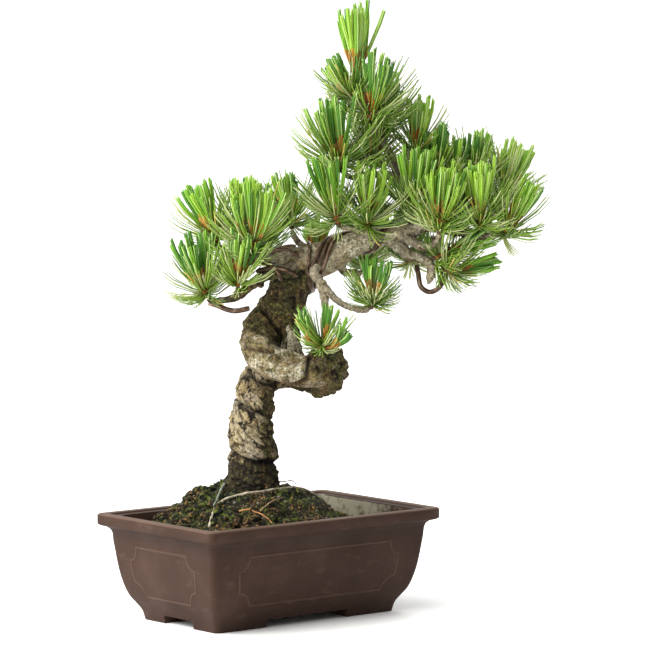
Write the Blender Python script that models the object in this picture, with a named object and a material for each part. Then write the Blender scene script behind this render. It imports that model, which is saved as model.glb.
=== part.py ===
"""A Japanese white pine bonsai: a corkscrew trunk, wired boughs and tufts of needles in a clay pot.

Lengths are in metres and +Z is up. X runs along the pot's long side. The tree is set out as it is
seen from its front, as (right, back, up) from the middle of the pot's underside.
"""

import math
import random

import bmesh
import bpy
import numpy as np
from mathutils import Matrix, Vector, noise

GAP = 0.0003
FRONT_TURN = math.radians(39.5)
GOLDEN_ANGLE = math.pi * (3 - math.sqrt(5))
UP = Vector((0, 0, 1))

# Pot: outer size at the rim, and the steps of its wall as (height, inset from the rim).
POT_LENGTH = 0.220
POT_WIDTH = 0.140
POT_HEIGHT = 0.0785
POT_CORNER = 0.006
POT_FLOOR = 0.012
OUTER_STEPS = (
    (0.0, 0.0258),
    (0.0070, 0.0240),
    (0.0120, 0.0210),
    (0.0200, 0.0162),
    (0.0350, 0.0120),
    (0.0580, 0.0086),
    (0.0640, 0.0082),
    (0.0680, 0.0060),
    (0.0700, 0.0008),
    (0.0712, 0.0),
    (0.0775, 0.0),
    (POT_HEIGHT, 0.0010),
)
RIM_LIP = 0.0070
RIM_STEP = 0.0014
INNER_STEPS = (
    (POT_HEIGHT - RIM_STEP, 0.0075),
    (POT_HEIGHT - RIM_STEP, 0.0135),
    (0.0600, 0.0155),
    (0.0350, 0.0190),
    (0.0200, 0.0235),
    (POT_FLOOR, 0.0300),
)
FOOT_HEIGHT = 0.006
FOOT_ALONG = 0.041
FOOT_ACROSS = 0.022
FOOT_DEPTH = 0.012
FOOT_SLANT = 0.005
DRAIN_RADIUS = 0.007
DRAIN_SPACING = 0.090
DRAIN_SIDES = 10

# Soil: a mound that is flat where the trunk stands, and lowest in the right back corner.
GROUND = 0.0950
SOIL_EDGE = 0.0660
SOIL_DIP = 0.0060
MOUND_TOP_RADIUS = 0.028
MOUND_FALL = 0.036
SOIL_CELLS = (15, 10)
SKY = 0.20

# Trunk: its bends from below the foot to the fork, as (right, back, up, radius).
TRUNK_BENDS = (
    (-0.0130, 0.0020, 0.0900, 0.0225),
    (-0.0130, 0.0020, 0.0970, 0.0215),
    (-0.0122, 0.0020, 0.1080, 0.0188),
    (-0.0118, 0.0010, 0.1220, 0.0176),
    (-0.0142, 0.0000, 0.1350, 0.0162),
    (-0.0120, 0.0000, 0.1510, 0.0153),
    (-0.0110, 0.0040, 0.1650, 0.0142),
    (-0.0050, 0.0160, 0.1770, 0.0134),
    (0.0100, 0.0290, 0.1790, 0.0130),
    (0.0280, 0.0310, 0.1770, 0.0138),
    (0.0410, 0.0180, 0.1780, 0.0158),
    (0.0440, 0.0020, 0.1830, 0.0162),
    (0.0380, -0.0140, 0.1850, 0.0138),
    (0.0250, -0.0215, 0.1845, 0.0117),
    (0.0110, -0.0235, 0.1880, 0.0122),
    (-0.0015, -0.0200, 0.1925, 0.0121),
    (-0.0085, -0.0100, 0.2000, 0.0116),
    (-0.0085, 0.0000, 0.2095, 0.0128),
    (-0.0030, 0.0050, 0.2210, 0.0145),
    (0.0050, 0.0060, 0.2330, 0.0151),
    (0.0125, 0.0050, 0.2450, 0.0148),
    (0.0210, 0.0020, 0.2560, 0.0140),
    (0.0315, -0.0010, 0.2640, 0.0125),
    (0.0440, -0.0020, 0.2685, 0.0106),
    (0.0560, -0.0020, 0.2735, 0.0092),
    (0.0680, 0.0000, 0.2785, 0.0085),
    (0.0810, 0.0020, 0.2825, 0.0078),
    (0.0930, 0.0030, 0.2852, 0.0073),
    (0.1010, 0.0030, 0.2862, 0.0066),
)
TRUNK_SIDES = 4
TRUNK_STEP = 0.0085
BARK_DENT = 0.16
BARK_DENT_SIZE = 0.019
ROOT_LOBES = 4
ROOT_TURN = 0.8
ROOT_SPREAD = 0.0045
ROOT_HEIGHT = 0.016
SNAGS = (
    ((0.0120, 0.0180, 0.1840), (0.0165, 0.0040, 0.2185), 0.0088, 0.0036),
    ((0.0210, 0.0230, 0.1860), (0.0225, 0.0150, 0.2060), 0.0080, 0.0050),
)

# Boughs: the limb that carries each, the share of that limb's length where it leaves, the bends
# after that as (right, back, up), and the radius at its foot and at its tip.
BOUGHS = {
    "bough_right": (
        "trunk", 0.992, 0.0058, 0.0026,
        ((0.107, 0.001, 0.2885), (0.117, -0.004, 0.291), (0.131, -0.008, 0.2885),
         (0.146, -0.010, 0.2855), (0.159, -0.012, 0.2835), (0.170, -0.012, 0.2835)),
    ),
    "bough_apex": (
        "trunk", 0.985, 0.0052, 0.0015,
        ((0.1015, 0.006, 0.302), (0.098, 0.007, 0.316), (0.095, 0.006, 0.328),
         (0.090, 0.003, 0.342), (0.080, -0.002, 0.358), (0.072, -0.002, 0.372),
         (0.066, -0.002, 0.386), (0.064, -0.002, 0.396)),
    ),
    "bough_left_low": (
        "trunk", 0.800, 0.0056, 0.0020,
        ((0.009, -0.015, 0.2575), (-0.003, -0.020, 0.2545), (-0.014, -0.022, 0.2470),
         (-0.022, -0.023, 0.2400), (-0.032, -0.022, 0.2370), (-0.043, -0.018, 0.2360)),
    ),
    "bough_left_front": (
        "trunk", 0.826, 0.0038, 0.0023,
        ((0.017, -0.011, 0.2725), (0.006, -0.016, 0.2700), (-0.004, -0.019, 0.2660),
         (-0.012, -0.018, 0.2655)),
    ),
    "bough_left_back": (
        "trunk", 0.812, 0.0046, 0.0020,
        ((0.008, 0.020, 0.2640), (-0.006, 0.023, 0.2625), (-0.019, 0.019, 0.2635),
         (-0.030, 0.012, 0.2690), (-0.037, 0.007, 0.2755)),
    ),
    "twig_rear": (
        "trunk", 0.835, 0.0030, 0.0018,
        ((0.021, 0.009, 0.2785), (0.017, 0.011, 0.2870)),
    ),
    "bough_hanging": (
        "trunk", 0.853, 0.0042, 0.0017,
        ((0.034, -0.015, 0.2590), (0.038, -0.020, 0.2490), (0.041, -0.023, 0.2390),
         (0.042, -0.026, 0.2280), (0.041, -0.030, 0.2160), (0.039, -0.033, 0.2050)),
    ),
    "bough_low_right": (
        "bough_hanging", 0.400, 0.0027, 0.0018,
        ((0.050, -0.024, 0.2370), (0.060, -0.023, 0.2315), (0.069, -0.020, 0.2290),
         (0.075, -0.017, 0.2300)),
    ),
    "twig_behind_crook": (
        "trunk", 0.860, 0.0032, 0.0020,
        ((0.035, 0.020, 0.2640), (0.035, 0.030, 0.2625)),
    ),
    "bough_behind": (
        "trunk", 0.885, 0.0038, 0.0020,
        ((0.054, 0.019, 0.2570), (0.064, 0.030, 0.2530), (0.070, 0.037, 0.2540)),
    ),
    "twig_front": (
        "trunk", 0.935, 0.0027, 0.0017,
        ((0.073, -0.014, 0.2845), (0.062, -0.018, 0.2890), (0.052, -0.018, 0.2905)),
    ),
    "bough_right_low": (
        "trunk", 0.985, 0.0037, 0.0018,
        ((0.111, -0.008, 0.2765), (0.119, -0.013, 0.2765), (0.124, -0.019, 0.2820),
         (0.125, -0.023, 0.2865)),
    ),
    "bough_right_hanging": (
        "trunk", 0.968, 0.0046, 0.0030,
        ((0.100, 0.001, 0.2710), (0.110, 0.000, 0.2670), (0.119, -0.004, 0.2620),
         (0.1195, -0.006, 0.2550), (0.1175, -0.006, 0.2475)),
    ),
    "twig_right_up": (
        "bough_right", 0.300, 0.0030, 0.0020,
        ((0.125, 0.002, 0.3040), (0.1225, 0.004, 0.3180)),
    ),
    "bough_right_back": (
        "bough_right", 0.520, 0.0032, 0.0018,
        ((0.143, 0.006, 0.2985), (0.151, 0.014, 0.3075), (0.161, 0.018, 0.3065),
         (0.170, 0.020, 0.3080)),
    ),
    "twig_apex_left": (
        "bough_apex", 0.340, 0.0028, 0.0017,
        ((0.087, 0.004, 0.3280), (0.076, 0.000, 0.3275), (0.062, -0.007, 0.3265),
         (0.053, -0.012, 0.3310)),
    ),
}
BOUGH_SIDES = 2
BOUGH_STEP = 0.0085

# Wires: the limb that each winds round, the stretch of it that is wound, as shares of its length,
# the turns, the angle of the start and the wire's radius. Zero is the limb's far side.
WIND_WIRES = {
    "wire_shoulder_1": ("trunk", 0.862, 0.974, -1.6, 230, 0.0015),
    "wire_shoulder_2": ("trunk", 0.872, 0.984, -1.6, 230, 0.0015),
    "wire_left_low": ("bough_left_low", 0.22, 0.70, 2.2, 150, 0.0013),
    "wire_left_front": ("bough_left_front", 0.40, 0.86, 0.40, 60, 0.0012),
    "wire_right_low": ("bough_right_low", 0.50, 0.90, 1.0, 200, 0.0010),
}
WIRE_ROUTES = {
    "wire_cut_end": (
        0.0015,
        ((-0.046, -0.0180, 0.2327), (-0.036, -0.0215, 0.2323), (-0.025, -0.0240, 0.2327),
         (-0.0135, -0.0250, 0.2340)),
    ),
    "wire_stub_loop": (
        0.0016,
        ((0.1095, 0.0065, 0.2600), (0.1105, -0.0010, 0.2540), (0.1120, -0.0055, 0.2460),
         (0.1180, -0.0070, 0.2418), (0.1245, -0.0075, 0.2440), (0.1290, -0.0065, 0.2500),
         (0.1310, -0.0050, 0.2540)),
    ),
}
WIRE_SIDES = 1
WIRE_STEP = 0.0055

# Tufts: the limb that carries each and the share of its length, the way the stem leans, the stem's
# length, the way the needles point, the reach from the heart to the needle tips, and how wide
# the shoots fan, in degrees. Directions are (right, back, up).
TUFTS = {
    "tuft_left_tip": ("bough_left_low", 1.0, (-.6, -.1, .8), .006, (-.25, -.2, 1), .046, 34),
    "tuft_left_front": ("bough_left_low", .74, (0, -.5, 1), .007, (.1, -.2, 1), .038, 30),
    "tuft_left_middle": ("bough_left_front", 1.0, (0, -.5, 1), .011, (0, -.25, 1), .049, 40),
    "tuft_left_outer": ("bough_left_back", 1.0, (-.45, 0, 1), .005, (-.45, 0, 1), .045, 32),
    "tuft_left_top": ("bough_left_back", .76, (0, .15, 1), .017, (0, .1, 1), .040, 30),
    "tuft_left_inner": ("twig_rear", 1.0, (-.15, .1, 1), .005, (-.15, .1, 1), .038, 30),
    "tuft_left_back": ("bough_left_back", .50, (-.2, .9, .5), .011, (-.2, .6, 1), .038, 34),
    "tuft_shoulder_left": ("twig_front", 1.0, (-.4, -.1, 1), .005, (-.22, -.2, 1), .051, 34),
    "tuft_shoulder_right": ("twig_front", .42, (0, -.5, 1), .006, (.12, -.25, 1), .046, 32),
    "tuft_crook_back": ("twig_behind_crook", 1.0, (0, .8, .6), .005, (0, .5, 1), .032, 36),
    "tuft_behind": ("bough_behind", 1.0, (.2, .5, .8), .005, (.15, .35, 1), .036, 44),
    "tuft_inner": ("bough_right_hanging", .20, (-.5, .8, .2), .010, (-.6, .5, .35), .030, 30),
    "tuft_leader": ("bough_apex", 1.0, (0, 0, 1), .005, (.04, 0, 1), .050, 26),
    "tuft_leader_left": ("bough_apex", .86, (-.7, -.1, .6), .006, (-.55, 0, .9), .034, 28),
    "tuft_apex": ("bough_apex", .70, (-.3, -.6, .8), .007, (.12, -.15, 1), .050, 36),
    "tuft_apex_back": ("bough_apex", .62, (.1, .9, .6), .010, (.1, .5, 1), .044, 34),
    "tuft_apex_left": ("twig_apex_left", 1.0, (-.3, -.4, 1), .005, (-.08, -.15, 1), .052, 42),
    "tuft_apex_inner": ("twig_apex_left", .46, (.1, .7, .8), .009, (.15, .2, 1), .042, 32),
    "tuft_apex_right": ("bough_apex", .24, (.32, .05, 1), .028, (.08, 0, 1), .042, 24),
    "tuft_right_front": ("bough_right", .13, (0, -.8, .8), .010, (.05, -.2, 1), .050, 30),
    "tuft_right_upper": ("twig_right_up", 1.0, (0, 0, 1), .005, (.12, 0, 1), .040, 28),
    "tuft_right_lower": ("bough_right_low", 1.0, (.1, -.3, 1), .005, (.12, -.25, 1), .046, 32),
    "tuft_right_tip": ("bough_right", 1.0, (.8, -.2, .5), .005, (.5, -.1, 1), .053, 36),
    "tuft_right_face": ("bough_right", .82, (-.1, -.7, .8), .009, (-.05, -.25, 1), .048, 32),
    "tuft_right_crest": ("bough_right_back", .62, (.1, .2, 1), .008, (.15, 0, 1), .042, 30),
    "tuft_right_top": ("bough_right_back", .30, (-.4, .3, 1), .013, (.05, .1, 1), .042, 28),
    "tuft_right_back": ("bough_right_back", 1.0, (.8, .3, .6), .005, (.4, .25, 1), .044, 34),
    "tuft_right_rear": ("bough_right", .45, (.2, .9, .5), .020, (.2, .6, 1), .044, 34),
    "tuft_right_under": ("bough_right_hanging", .64, (.9, -.2, .3), .006, (.9, -.15, .5), .044, 30),
    "tuft_right_sprig": ("bough_right_hanging", .80, (1, .1, -.1), .010, (1, 0, .15), .038, 22),
    "tuft_right_shade": ("bough_right_hanging", .42, (0, .9, -.3), .013, (.1, .8, .3), .034, 36),
    "tuft_hanging": ("bough_hanging", 1.0, (0, -.9, -.2), .006, (.06, -.3, 1), .037, 48),
    "tuft_low": ("bough_low_right", 1.0, (.3, 0, 1), .005, (.1, -.1, 1), .034, 44),
}
STEM_RADIUS = 0.0017
LARGE_REACH = 0.045
SHOOTS = (2, 3)
SHOOT_RADIUS = 0.0022
SHOOT_SIDES = 5
BRUSH_LENGTH = 0.40
BRUSH_RADIUS = 0.062
NEW_NEEDLES = 5
OLD_NEEDLES = 3
NEEDLE_ROOT = 0.0012
NEEDLE_WIDTH = 0.0028
OLD_NEEDLE_WIDTH = 0.0010
NEEDLE_FLATNESS = 0.55
NEEDLE_SIDES = 3
NEW_SPREAD = math.radians(20)
NEW_LENGTH = (0.66, 0.76)
OLD_SPREAD = math.radians(68)
OLD_LENGTH = (0.62, 0.78)
SPREAD_VARIES = (0.8, 1.25)
TURN_VARIES = 0.4
AIM_PULL = 0.3
TRIES = 5
SEED = 5

COLOURS = {
    "unglazed clay": ((0.090, 0.052, 0.042), 0.62),
    "moss and grit": ((0.045, 0.042, 0.018), 0.95),
    "plated bark": ((0.200, 0.160, 0.100), 0.90),
    "bough bark": ((0.180, 0.140, 0.095), 0.88),
    "anodised wire": ((0.075, 0.052, 0.042), 0.45),
    "white pine needles": ((0.130, 0.300, 0.035), 0.55),
}


def clear_scene():
    for obj in list(bpy.data.objects):
        bpy.data.objects.remove(obj, do_unlink=True)


def make_collection(name):
    collection = bpy.data.collections.new(name)
    bpy.context.scene.collection.children.link(collection)
    return collection


def make_materials():
    materials = {}
    for name, (colour, roughness) in COLOURS.items():
        material = bpy.data.materials.new(name)
        material.use_nodes = True
        shader = material.node_tree.nodes["Principled BSDF"]
        shader.inputs["Base Color"].default_value = (*colour, 1)
        shader.inputs["Roughness"].default_value = roughness
        shader.inputs["Metallic"].default_value = 0.0
        material.diffuse_color = (*colour, 1)
        materials[name] = material
    return materials


def from_front(right, back, up):
    """A point or direction seen from the tree's front, in the pot's own axes."""
    across = Vector((math.cos(FRONT_TURN), -math.sin(FRONT_TURN), 0))
    away = Vector((math.sin(FRONT_TURN), math.cos(FRONT_TURN), 0))
    return across * right + away * back + UP * up


def new_object(name, mesh, collection):
    obj = bpy.data.objects.new(name, mesh)
    collection.objects.link(obj)
    return obj


def mesh_from(bm, name):
    mesh = bpy.data.meshes.new(name)
    bm.to_mesh(mesh)
    bm.free()
    return mesh


def face_out(bm):
    """Turns an inside-out body the right way round."""
    if bm.calc_volume(signed=True) < 0:
        bmesh.ops.reverse_faces(bm, faces=bm.faces)


def largest_body(bm):
    """Drops every loose scrap but the largest piece."""
    left = set(bm.verts)
    bodies = []
    while left:
        body = {left.pop()}
        edge = list(body)
        while edge:
            vert = edge.pop()
            for link in vert.link_edges:
                other = link.other_vert(vert)
                if other in left:
                    left.discard(other)
                    body.add(other)
                    edge.append(other)
        bodies.append(body)
    bodies.sort(key=len)
    scraps = [vert for body in bodies[:-1] for vert in body]
    bmesh.ops.delete(bm, geom=scraps, context="VERTS")


def combine(obj, others, operation, solver="EXACT"):
    """Applies one Boolean with the other objects to obj, then removes them."""
    tools = make_collection("tools")
    for other in others:
        tools.objects.link(other)
    modifier = obj.modifiers.new(operation.lower(), "BOOLEAN")
    modifier.operand_type = "COLLECTION"
    modifier.collection = tools
    modifier.operation = operation
    modifier.solver = solver
    graph = bpy.context.evaluated_depsgraph_get()
    mesh = bpy.data.meshes.new_from_object(obj.evaluated_get(graph))
    obj.modifiers.clear()
    for other in others:
        bpy.data.objects.remove(other, do_unlink=True)
    bpy.data.collections.remove(tools)
    bm = bmesh.new()
    bm.from_mesh(mesh)
    if solver == "EXACT":
        bmesh.ops.remove_doubles(bm, verts=bm.verts, dist=1e-7)
    largest_body(bm)
    face_out(bm)
    bm.to_mesh(mesh)
    bm.free()
    obj.data = mesh


def smooth_path(stations, step):
    """Rows of (x, y, z, radius), about a step apart, on a smooth curve through the stations."""
    rows = np.array(stations, float)
    ends = np.vstack([2 * rows[0] - rows[1], rows, 2 * rows[-1] - rows[-2]])
    path = []
    for before, start, end, after in zip(ends, ends[1:], ends[2:], ends[3:]):
        pieces = max(1, round(np.linalg.norm((end - start)[:3]) / step))
        for t in np.arange(pieces) / pieces:
            path.append(
                0.5 * (2 * start + (end - before) * t
                       + (2 * before - 5 * start + 4 * end - after) * t ** 2
                       + (3 * start - before - 3 * end + after) * t ** 3)
            )
    path.append(rows[-1])
    return np.array(path)


def lengths_along(path):
    steps = np.linalg.norm(np.diff(path[:, :3], axis=0), axis=1)
    return np.concatenate([[0], np.cumsum(steps)])


def at_share(path, share):
    """The point and the radius at a share of a path's length."""
    lengths = lengths_along(path)
    row = [np.interp(share * lengths[-1], lengths, path[:, i]) for i in range(4)]
    return Vector(row[:3]), row[3]


def tube(name, path, bevel_resolution, collection):
    """A tapering tube along the path, as a mesh with its caps welded on."""
    curve = bpy.data.curves.new(name, "CURVE")
    curve.dimensions = "3D"
    curve.bevel_depth = 1
    curve.bevel_resolution = bevel_resolution
    curve.use_fill_caps = True
    spline = curve.splines.new("POLY")
    spline.points.add(len(path) - 1)
    for point, (x, y, z, radius) in zip(spline.points, path):
        point.co = (x, y, z, 1)
        point.radius = radius
    guide = new_object(name, curve, collection)
    graph = bpy.context.evaluated_depsgraph_get()
    mesh = bpy.data.meshes.new_from_object(guide.evaluated_get(graph))
    bpy.data.objects.remove(guide, do_unlink=True)
    bpy.data.curves.remove(curve)
    bm = bmesh.new()
    bm.from_mesh(mesh)
    bmesh.ops.remove_doubles(bm, verts=bm.verts, dist=1e-6)
    bmesh.ops.recalc_face_normals(bm, faces=bm.faces)
    face_out(bm)
    bm.to_mesh(mesh)
    bm.free()
    mesh.name = name
    return new_object(name, mesh, collection)


def clearance_copy(obj, collection):
    """A copy of the object that is larger by the gap all round, to cut its neighbours with."""
    bm = bmesh.new()
    bm.from_mesh(obj.data)
    bm.normal_update()
    moves = [vert.normal * GAP * vert.calc_shell_factor() for vert in bm.verts]
    for vert, move in zip(bm.verts, moves):
        vert.co += move
    return new_object(obj.name + " clearance", mesh_from(bm, obj.name), collection)


def rod(name, start, end, radius_start, radius_end, sides, collection, flatness=1.0, roll=0.0):
    """A closed tapering rod from start to end, flattened to a strip where flatness is below 1."""
    along = end - start
    turn = along.to_track_quat("Z", "Y").to_matrix().to_4x4()
    shape = Matrix.Rotation(roll, 4, "Z") @ Matrix.Diagonal((1, flatness, 1, 1))
    bm = bmesh.new()
    bmesh.ops.create_cone(
        bm,
        cap_ends=True,
        segments=sides,
        radius1=radius_start,
        radius2=radius_end,
        depth=along.length,
        matrix=Matrix.Translation((start + end) / 2) @ turn @ shape,
    )
    return new_object(name, mesh_from(bm, name), collection)


def pot_levels(bm, face, steps):
    """Draws a face up or down through the wall's steps, keeping each step's inset on all sides."""
    height, inset = steps[0]
    for next_height, next_inset in steps[1:]:
        out = bmesh.ops.extrude_face_region(bm, geom=[face])
        bmesh.ops.delete(bm, geom=[face], context="FACES_ONLY")
        verts = [item for item in out["geom"] if isinstance(item, bmesh.types.BMVert)]
        face = next(item for item in out["geom"] if isinstance(item, bmesh.types.BMFace))
        size = (
            (POT_LENGTH / 2 - next_inset) / (POT_LENGTH / 2 - inset),
            (POT_WIDTH / 2 - next_inset) / (POT_WIDTH / 2 - inset),
            1,
        )
        bmesh.ops.scale(bm, vec=size, verts=verts)
        bmesh.ops.translate(bm, vec=(0, 0, next_height - height), verts=verts)
        height, inset = next_height, next_inset
    return face


def rounded_rectangle(bm, height, inset):
    """A flat face with rounded corners, facing up, of the pot's outline at an inset."""
    corners = bmesh.ops.create_grid(
        bm, x_segments=1, y_segments=1, size=1, matrix=Matrix.Translation((0, 0, height))
    )["verts"]
    bmesh.ops.scale(bm, vec=(POT_LENGTH / 2, POT_WIDTH / 2, 1), verts=corners)
    bmesh.ops.bevel(
        bm, geom=corners, affect="VERTICES", offset=POT_CORNER, segments=3, profile=0.5
    )
    shrink = (1 - 2 * inset / POT_LENGTH, 1 - 2 * inset / POT_WIDTH, 1)
    bmesh.ops.scale(bm, vec=shrink, verts=bm.verts)
    return bm.faces[:][0]


def box(name, low, high, collection, slant=0.0, slant_axis=0):
    """A box between two corners. With a slant, its lower edge is wider than its top along an axis."""
    bm = bmesh.new()
    bmesh.ops.create_cube(bm, size=1)
    low, high = Vector(low), Vector(high)
    for vert in bm.verts:
        for axis in range(3):
            vert.co[axis] = high[axis] if vert.co[axis] > 0 else low[axis]
        if vert.co.z == low.z:
            vert.co[slant_axis] += math.copysign(slant, vert.co[slant_axis])
    return new_object(name, mesh_from(bm, name), collection)


def make_pot(collection):
    bm = bmesh.new()
    face = rounded_rectangle(bm, *OUTER_STEPS[0])
    face.copy()  # this copy stays behind as the underside
    pot_levels(bm, face, OUTER_STEPS + ((POT_HEIGHT, RIM_LIP),) + INNER_STEPS)
    bmesh.ops.remove_doubles(bm, verts=bm.verts, dist=1e-6)
    bmesh.ops.recalc_face_normals(bm, faces=bm.faces)
    pot = new_object("pot", mesh_from(bm, "pot"), collection)
    foot_inset = OUTER_STEPS[0][1]
    half_length = POT_LENGTH / 2 - foot_inset
    half_width = POT_WIDTH / 2 - foot_inset
    below = -FOOT_HEIGHT
    arch_along = half_length - FOOT_ALONG - FOOT_SLANT
    arch_across = half_width - FOOT_ACROSS - FOOT_SLANT
    slots = [
        box("long arch", (-arch_along, -POT_WIDTH, below), (arch_along, POT_WIDTH, FOOT_HEIGHT),
            collection, 2 * FOOT_SLANT, 0),
        box("short arch", (-POT_LENGTH, -arch_across, below),
            (POT_LENGTH, arch_across, FOOT_HEIGHT), collection, 2 * FOOT_SLANT, 1),
        box("recess", (FOOT_DEPTH - half_length, FOOT_DEPTH - half_width, below),
            (half_length - FOOT_DEPTH, half_width - FOOT_DEPTH, FOOT_HEIGHT), collection),
    ]
    for side in (-1, 1):
        foot = Vector((side * DRAIN_SPACING / 2, 0, below))
        top = foot + UP * 2 * POT_FLOOR
        slots.append(rod("drain", foot, top, DRAIN_RADIUS, DRAIN_RADIUS, DRAIN_SIDES, collection))
    for slot in slots:
        combine(pot, [slot], "DIFFERENCE")
    return pot


def soil_height(x, y):
    """The height of the soil's surface: a flat top under the trunk that falls to the edge."""
    foot = from_front(*TRUNK_BENDS[0][:3])
    away = max(0.0, math.hypot(x - foot.x, y - foot.y) - MOUND_TOP_RADIUS)
    rise = GROUND - GAP - SOIL_EDGE
    corner = max(0.0, x / POT_LENGTH) + max(0.0, y / POT_WIDTH)
    fade = math.exp(-((away / MOUND_FALL) ** 2))
    return SOIL_EDGE + rise * fade - SOIL_DIP * corner * (1 - fade)


def make_soil(collection):
    bm = bmesh.new()
    inner = [(height, inset + GAP) for height, inset in INNER_STEPS[1:]]
    inner[0] = (GROUND + POT_FLOOR, inner[0][1])
    inner[-1] = (inner[-1][0] + GAP, inner[-1][1])
    face = rounded_rectangle(bm, *inner[0])
    face.copy()  # this copy stays behind as the top, which the sky then cuts away
    pot_levels(bm, face, inner)
    bmesh.ops.remove_doubles(bm, verts=bm.verts, dist=1e-6)
    bmesh.ops.recalc_face_normals(bm, faces=bm.faces)
    soil = new_object("soil", mesh_from(bm, "soil"), collection)
    bm = bmesh.new()
    bmesh.ops.create_grid(bm, x_segments=SOIL_CELLS[0], y_segments=SOIL_CELLS[1], size=1)
    for vert in bm.verts:
        vert.co.x *= POT_LENGTH / 2
        vert.co.y *= POT_WIDTH / 2
    sky = bmesh.ops.extrude_face_region(bm, geom=bm.faces[:])
    lid = [item for item in sky["geom"] if isinstance(item, bmesh.types.BMVert)]
    for vert in bm.verts:
        vert.co.z = SKY if vert in lid else soil_height(vert.co.x, vert.co.y)
    bmesh.ops.recalc_face_normals(bm, faces=bm.faces)
    combine(soil, [new_object("sky", mesh_from(bm, "sky"), collection)], "DIFFERENCE")
    return soil


def make_trunk(path, collection):
    """The trunk with its dented bark, flared foot and old snags, cut flat where it leaves the soil."""
    trunk = tube("trunk", path, TRUNK_SIDES, collection)
    foot = from_front(*TRUNK_BENDS[0][:3])
    centres = path[:, :3]
    for vert in trunk.data.vertices:
        nearest = int(np.argmin(np.linalg.norm(centres - np.array(vert.co), axis=1)))
        centre = Vector(centres[nearest])
        dent = 0.5 + 0.5 * noise.noise(vert.co / BARK_DENT_SIZE)
        vert.co = centre + (vert.co - centre) * (1 - BARK_DENT * dent)
        out = Vector((vert.co.x - foot.x, vert.co.y - foot.y, 0))
        angle = math.atan2(out.y, out.x)
        fade = max(0.0, 1 - (vert.co.z - TRUNK_BENDS[0][2]) / ROOT_HEIGHT)
        lobe = 0.5 + 0.5 * math.cos(ROOT_LOBES * angle + ROOT_TURN)
        vert.co += out.normalized() * ROOT_SPREAD * lobe * fade ** 2
    bm = bmesh.new()
    bm.from_mesh(trunk.data)
    cut = bmesh.ops.bisect_plane(
        bm,
        geom=bm.verts[:] + bm.edges[:] + bm.faces[:],
        plane_co=(0, 0, GROUND),
        plane_no=(0, 0, 1),
        clear_inner=True,
    )
    rim = [item for item in cut["geom_cut"] if isinstance(item, bmesh.types.BMEdge)]
    bmesh.ops.contextual_create(bm, geom=rim)
    bmesh.ops.recalc_face_normals(bm, faces=bm.faces)
    bm.to_mesh(trunk.data)
    bm.free()
    snags = [
        rod("snag", from_front(*low), from_front(*high), wide, narrow, 8, collection)
        for low, high, wide, narrow in SNAGS
    ]
    combine(trunk, snags, "UNION")
    return trunk


def wind(path, first, last, turns, start_angle, radius):
    """The path of a wire that winds round a limb, just clear of its bark."""
    total = lengths_along(path)[-1]
    mid_radius = at_share(path, (first + last) / 2)[1]
    run = math.hypot((last - first) * total, turns * math.tau * (mid_radius + radius))
    pieces = max(4, round(run / WIRE_STEP))
    rows = []
    for k in range(pieces + 1):
        share = first + (last - first) * k / pieces
        centre, limb_radius = at_share(path, share)
        ahead = at_share(path, min(1.0, share + 0.01))[0] - at_share(path, share - 0.01)[0]
        back = ahead.cross(UP).normalized() * -1
        over = ahead.cross(back).normalized() * -1
        if over.z < 0:
            over = -over
        angle = math.radians(start_angle) + turns * math.tau * k / pieces
        out = back * math.cos(angle) + over * math.sin(angle)
        point = centre + out * (limb_radius + radius + 3 * GAP)
        rows.append((*point, radius))
    return np.array(rows)


def limb_path(name, paths):
    limb, share, wide, narrow, bends = BOUGHS[name]
    seat = at_share(paths[limb], share)[0]
    points = [seat] + [from_front(*bend) for bend in bends]
    radii = np.linspace(wide, narrow, len(points))
    return smooth_path([(*point, radius) for point, radius in zip(points, radii)], BOUGH_STEP)


def segments_of(path):
    """Rows of (start, end, radius) for each straight stretch of a path."""
    radii = np.maximum(path[:-1, 3], path[1:, 3])
    return np.column_stack([path[:-1, :3], path[1:, :3], radii])


def distances(start, end, segments):
    """The gap between one straight line and each row of segments, less that row's radius."""
    p1, d1 = np.array(start), np.array(end) - np.array(start)
    p2, d2 = segments[:, :3], segments[:, 3:6] - segments[:, :3]
    r = p1 - p2
    a = d1 @ d1
    e = (d2 * d2).sum(axis=1) + 1e-12
    f = (d2 * r).sum(axis=1)
    b = d2 @ d1
    c = r @ d1
    flat = a * e - b * b
    s = np.clip((b * f - c * e) / np.where(flat < 1e-15, 1e-15, flat), 0, 1)
    t = np.clip((b * s + f) / e, 0, 1)
    s = np.clip((b * t - c) / a, 0, 1)
    near = (p1 + s[:, None] * d1) - (p2 + t[:, None] * d2)
    return np.linalg.norm(near, axis=1) - segments[:, 6]


def tilted(direction, tilt, turn):
    """A direction that leans away from another by tilt, towards the side that turn gives."""
    side = direction.orthogonal().normalized()
    side.rotate(Matrix.Rotation(turn, 3, direction))
    return (direction * math.cos(tilt) + side * math.sin(tilt)).normalized()


def tuft_wood(name, paths):
    """The stem of a tuft and the slim core of each shoot, as rows of (start, end, radii)."""
    limb, share, lean, stem, aim, reach, fan = TUFTS[name]
    seat = at_share(paths[limb], share)[0]
    out = from_front(*lean).normalized()
    aim = from_front(*aim).normalized()
    limb_radius = at_share(paths[limb], share)[1]
    heart = seat + out * (stem + (limb_radius if share < 1 else 0))
    wood = [(seat, heart, STEM_RADIUS, SHOOT_RADIUS)]
    shoots = SHOOTS[reach >= LARGE_REACH]
    for k in range(shoots):
        tilt = math.radians(fan) * math.sqrt((k + 0.35) / shoots)
        way = tilted(aim, tilt, k * GOLDEN_ANGLE + len(name))
        root = heart - way * SHOOT_RADIUS * 0.5
        tip = heart + way * reach * BRUSH_LENGTH
        wood.append((root, tip, SHOOT_RADIUS, reach * BRUSH_RADIUS))
    return wood


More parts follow.
